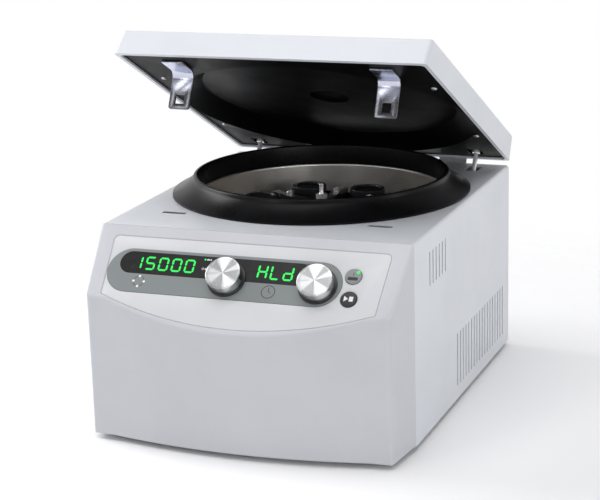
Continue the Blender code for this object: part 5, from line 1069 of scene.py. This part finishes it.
def stage_floor():
    """A large pale floor that keeps the object's shadow."""
    obj = temporary(box((-6, -6, -0.02), (6, 6, 0)))
    obj.name = "floor"
    paint = Paint("floor_paper", "", Roughness=0.7, Specular_IOR_Level=0.1)
    here = paint.place()
    x, y, _ = paint.split(here)
    far = (x * x + y * y).math("SQRT")
    paint.set(Base_Color=paint.mix(paint.noise(here, 3.0), (0.95, 0.95, 0.95), (0.97, 0.97, 0.97)),
              Alpha=far.ramp(0.30, 0.95, 1.0, 0.0))
    obj.data.materials.append(paint.material)


def area_light(name, spot, aim, size, power, colour=(1, 1, 1)):
    """A soft box aimed at a point."""
    light = bpy.data.lights.new(name, "AREA")
    light.shape, light.size, light.size_y = "RECTANGLE", *size
    light.energy, light.color = power, colour
    obj = bpy.data.objects.new(name, light)
    bpy.context.collection.objects.link(obj)
    obj.location = spot
    obj.rotation_mode = "QUATERNION"
    obj.rotation_quaternion = (Vector(aim) - Vector(spot)).to_track_quat("-Z", "Y")


stage_floor()
area_light("key", (-2.2, 0.1, 1.4), (0, 0, 0.2), (1.3, 1.3), 36)
area_light("fill", (1.7, -1.6, 0.7), (0, 0, 0.2), (1.4, 0.9), 9)
area_light("top", (0.0, -0.2, 2.4), (0, 0, 0.2), (2.0, 2.0), 22)
area_light("right_rim", (2.1, 0.15, 1.4), (0, 0, 0.2), (0.6, 0.6), 3)
area_light("front_rim", (-0.83, -1.86, 1.45), (0, 0, 0.2), (0.5, 0.5), 4)

world = bpy.data.worlds.new("studio")
bpy.context.scene.world = world
world.use_nodes = True
tree = world.node_tree
tree.nodes.clear()
output = tree.nodes.new("ShaderNodeOutputWorld")
lights = tree.nodes.new("ShaderNodeBackground")
white = tree.nodes.new("ShaderNodeBackground")
chooser = tree.nodes.new("ShaderNodeMixShader")
path = tree.nodes.new("ShaderNodeLightPath")
around = tree.nodes.new("ShaderNodeTexCoord")
parts = tree.nodes.new("ShaderNodeSeparateXYZ")
bands = tree.nodes.new("ShaderNodeValToRGB")
bands.color_ramp.interpolation = "EASE"
bands.color_ramp.elements[0].position = 0.0
bands.color_ramp.elements[0].color = (0.96, 0.97, 1.0, 1)
for spot, level in ((0.22, 0.95), (0.36, 0.38), (0.72, 0.30), (0.92, 0.75)):
    bands.color_ramp.elements.new(spot).color = (level, level, level * 1.04, 1)
bands.color_ramp.elements[-1].color = (0.8, 0.8, 0.83, 1)
lights.inputs[1].default_value = 0.95
white.inputs[0].default_value = (1, 1, 1, 1)
white.inputs[1].default_value = 1.0
tree.links.new(around.outputs["Generated"], parts.inputs[0])
tree.links.new(parts.outputs[2], bands.inputs[0])
tree.links.new(bands.outputs[0], lights.inputs[0])
z = Value(tree, parts.outputs[2])
mirror = Value(tree, path.outputs["Is Glossy Ray"]).math("MAXIMUM",
                                                         Value(tree, path.outputs["Is Transmission Ray"]))
seen = Value(tree, path.outputs["Is Camera Ray"]).math("MAXIMUM", mirror * z.ramp(0.22, 0.36, 1.0, 0.0))
link(tree, seen, chooser.inputs[0])
tree.links.new(lights.outputs[0], chooser.inputs[1])
tree.links.new(white.outputs[0], chooser.inputs[2])
tree.links.new(chooser.outputs[0], output.inputs[0])

camera_data = bpy.data.cameras.new("camera")
camera = bpy.data.objects.new("camera", camera_data)
bpy.context.collection.objects.link(camera)
camera_data.sensor_fit, camera_data.sensor_width, camera_data.lens = "HORIZONTAL", 36.0, 112.07
right = Vector((0.93615692, 0.35066604, -0.02536843))
up = Vector((-0.0674121, 0.24984623, 0.96593606))
ahead = Vector((-0.34505918, 0.90255758, -0.25753441))
spot = BASE @ Vector((0.759519, -1.844195, 0.741658))
camera.matrix_world = Matrix((
    (right.x, up.x, -ahead.x, spot.x), (right.y, up.y, -ahead.y, spot.y), (right.z, up.z, -ahead.z, spot.z),
    (0, 0, 0, 1)))
bpy.context.scene.camera = camera
bpy.context.scene.view_settings.view_transform = "Standard"
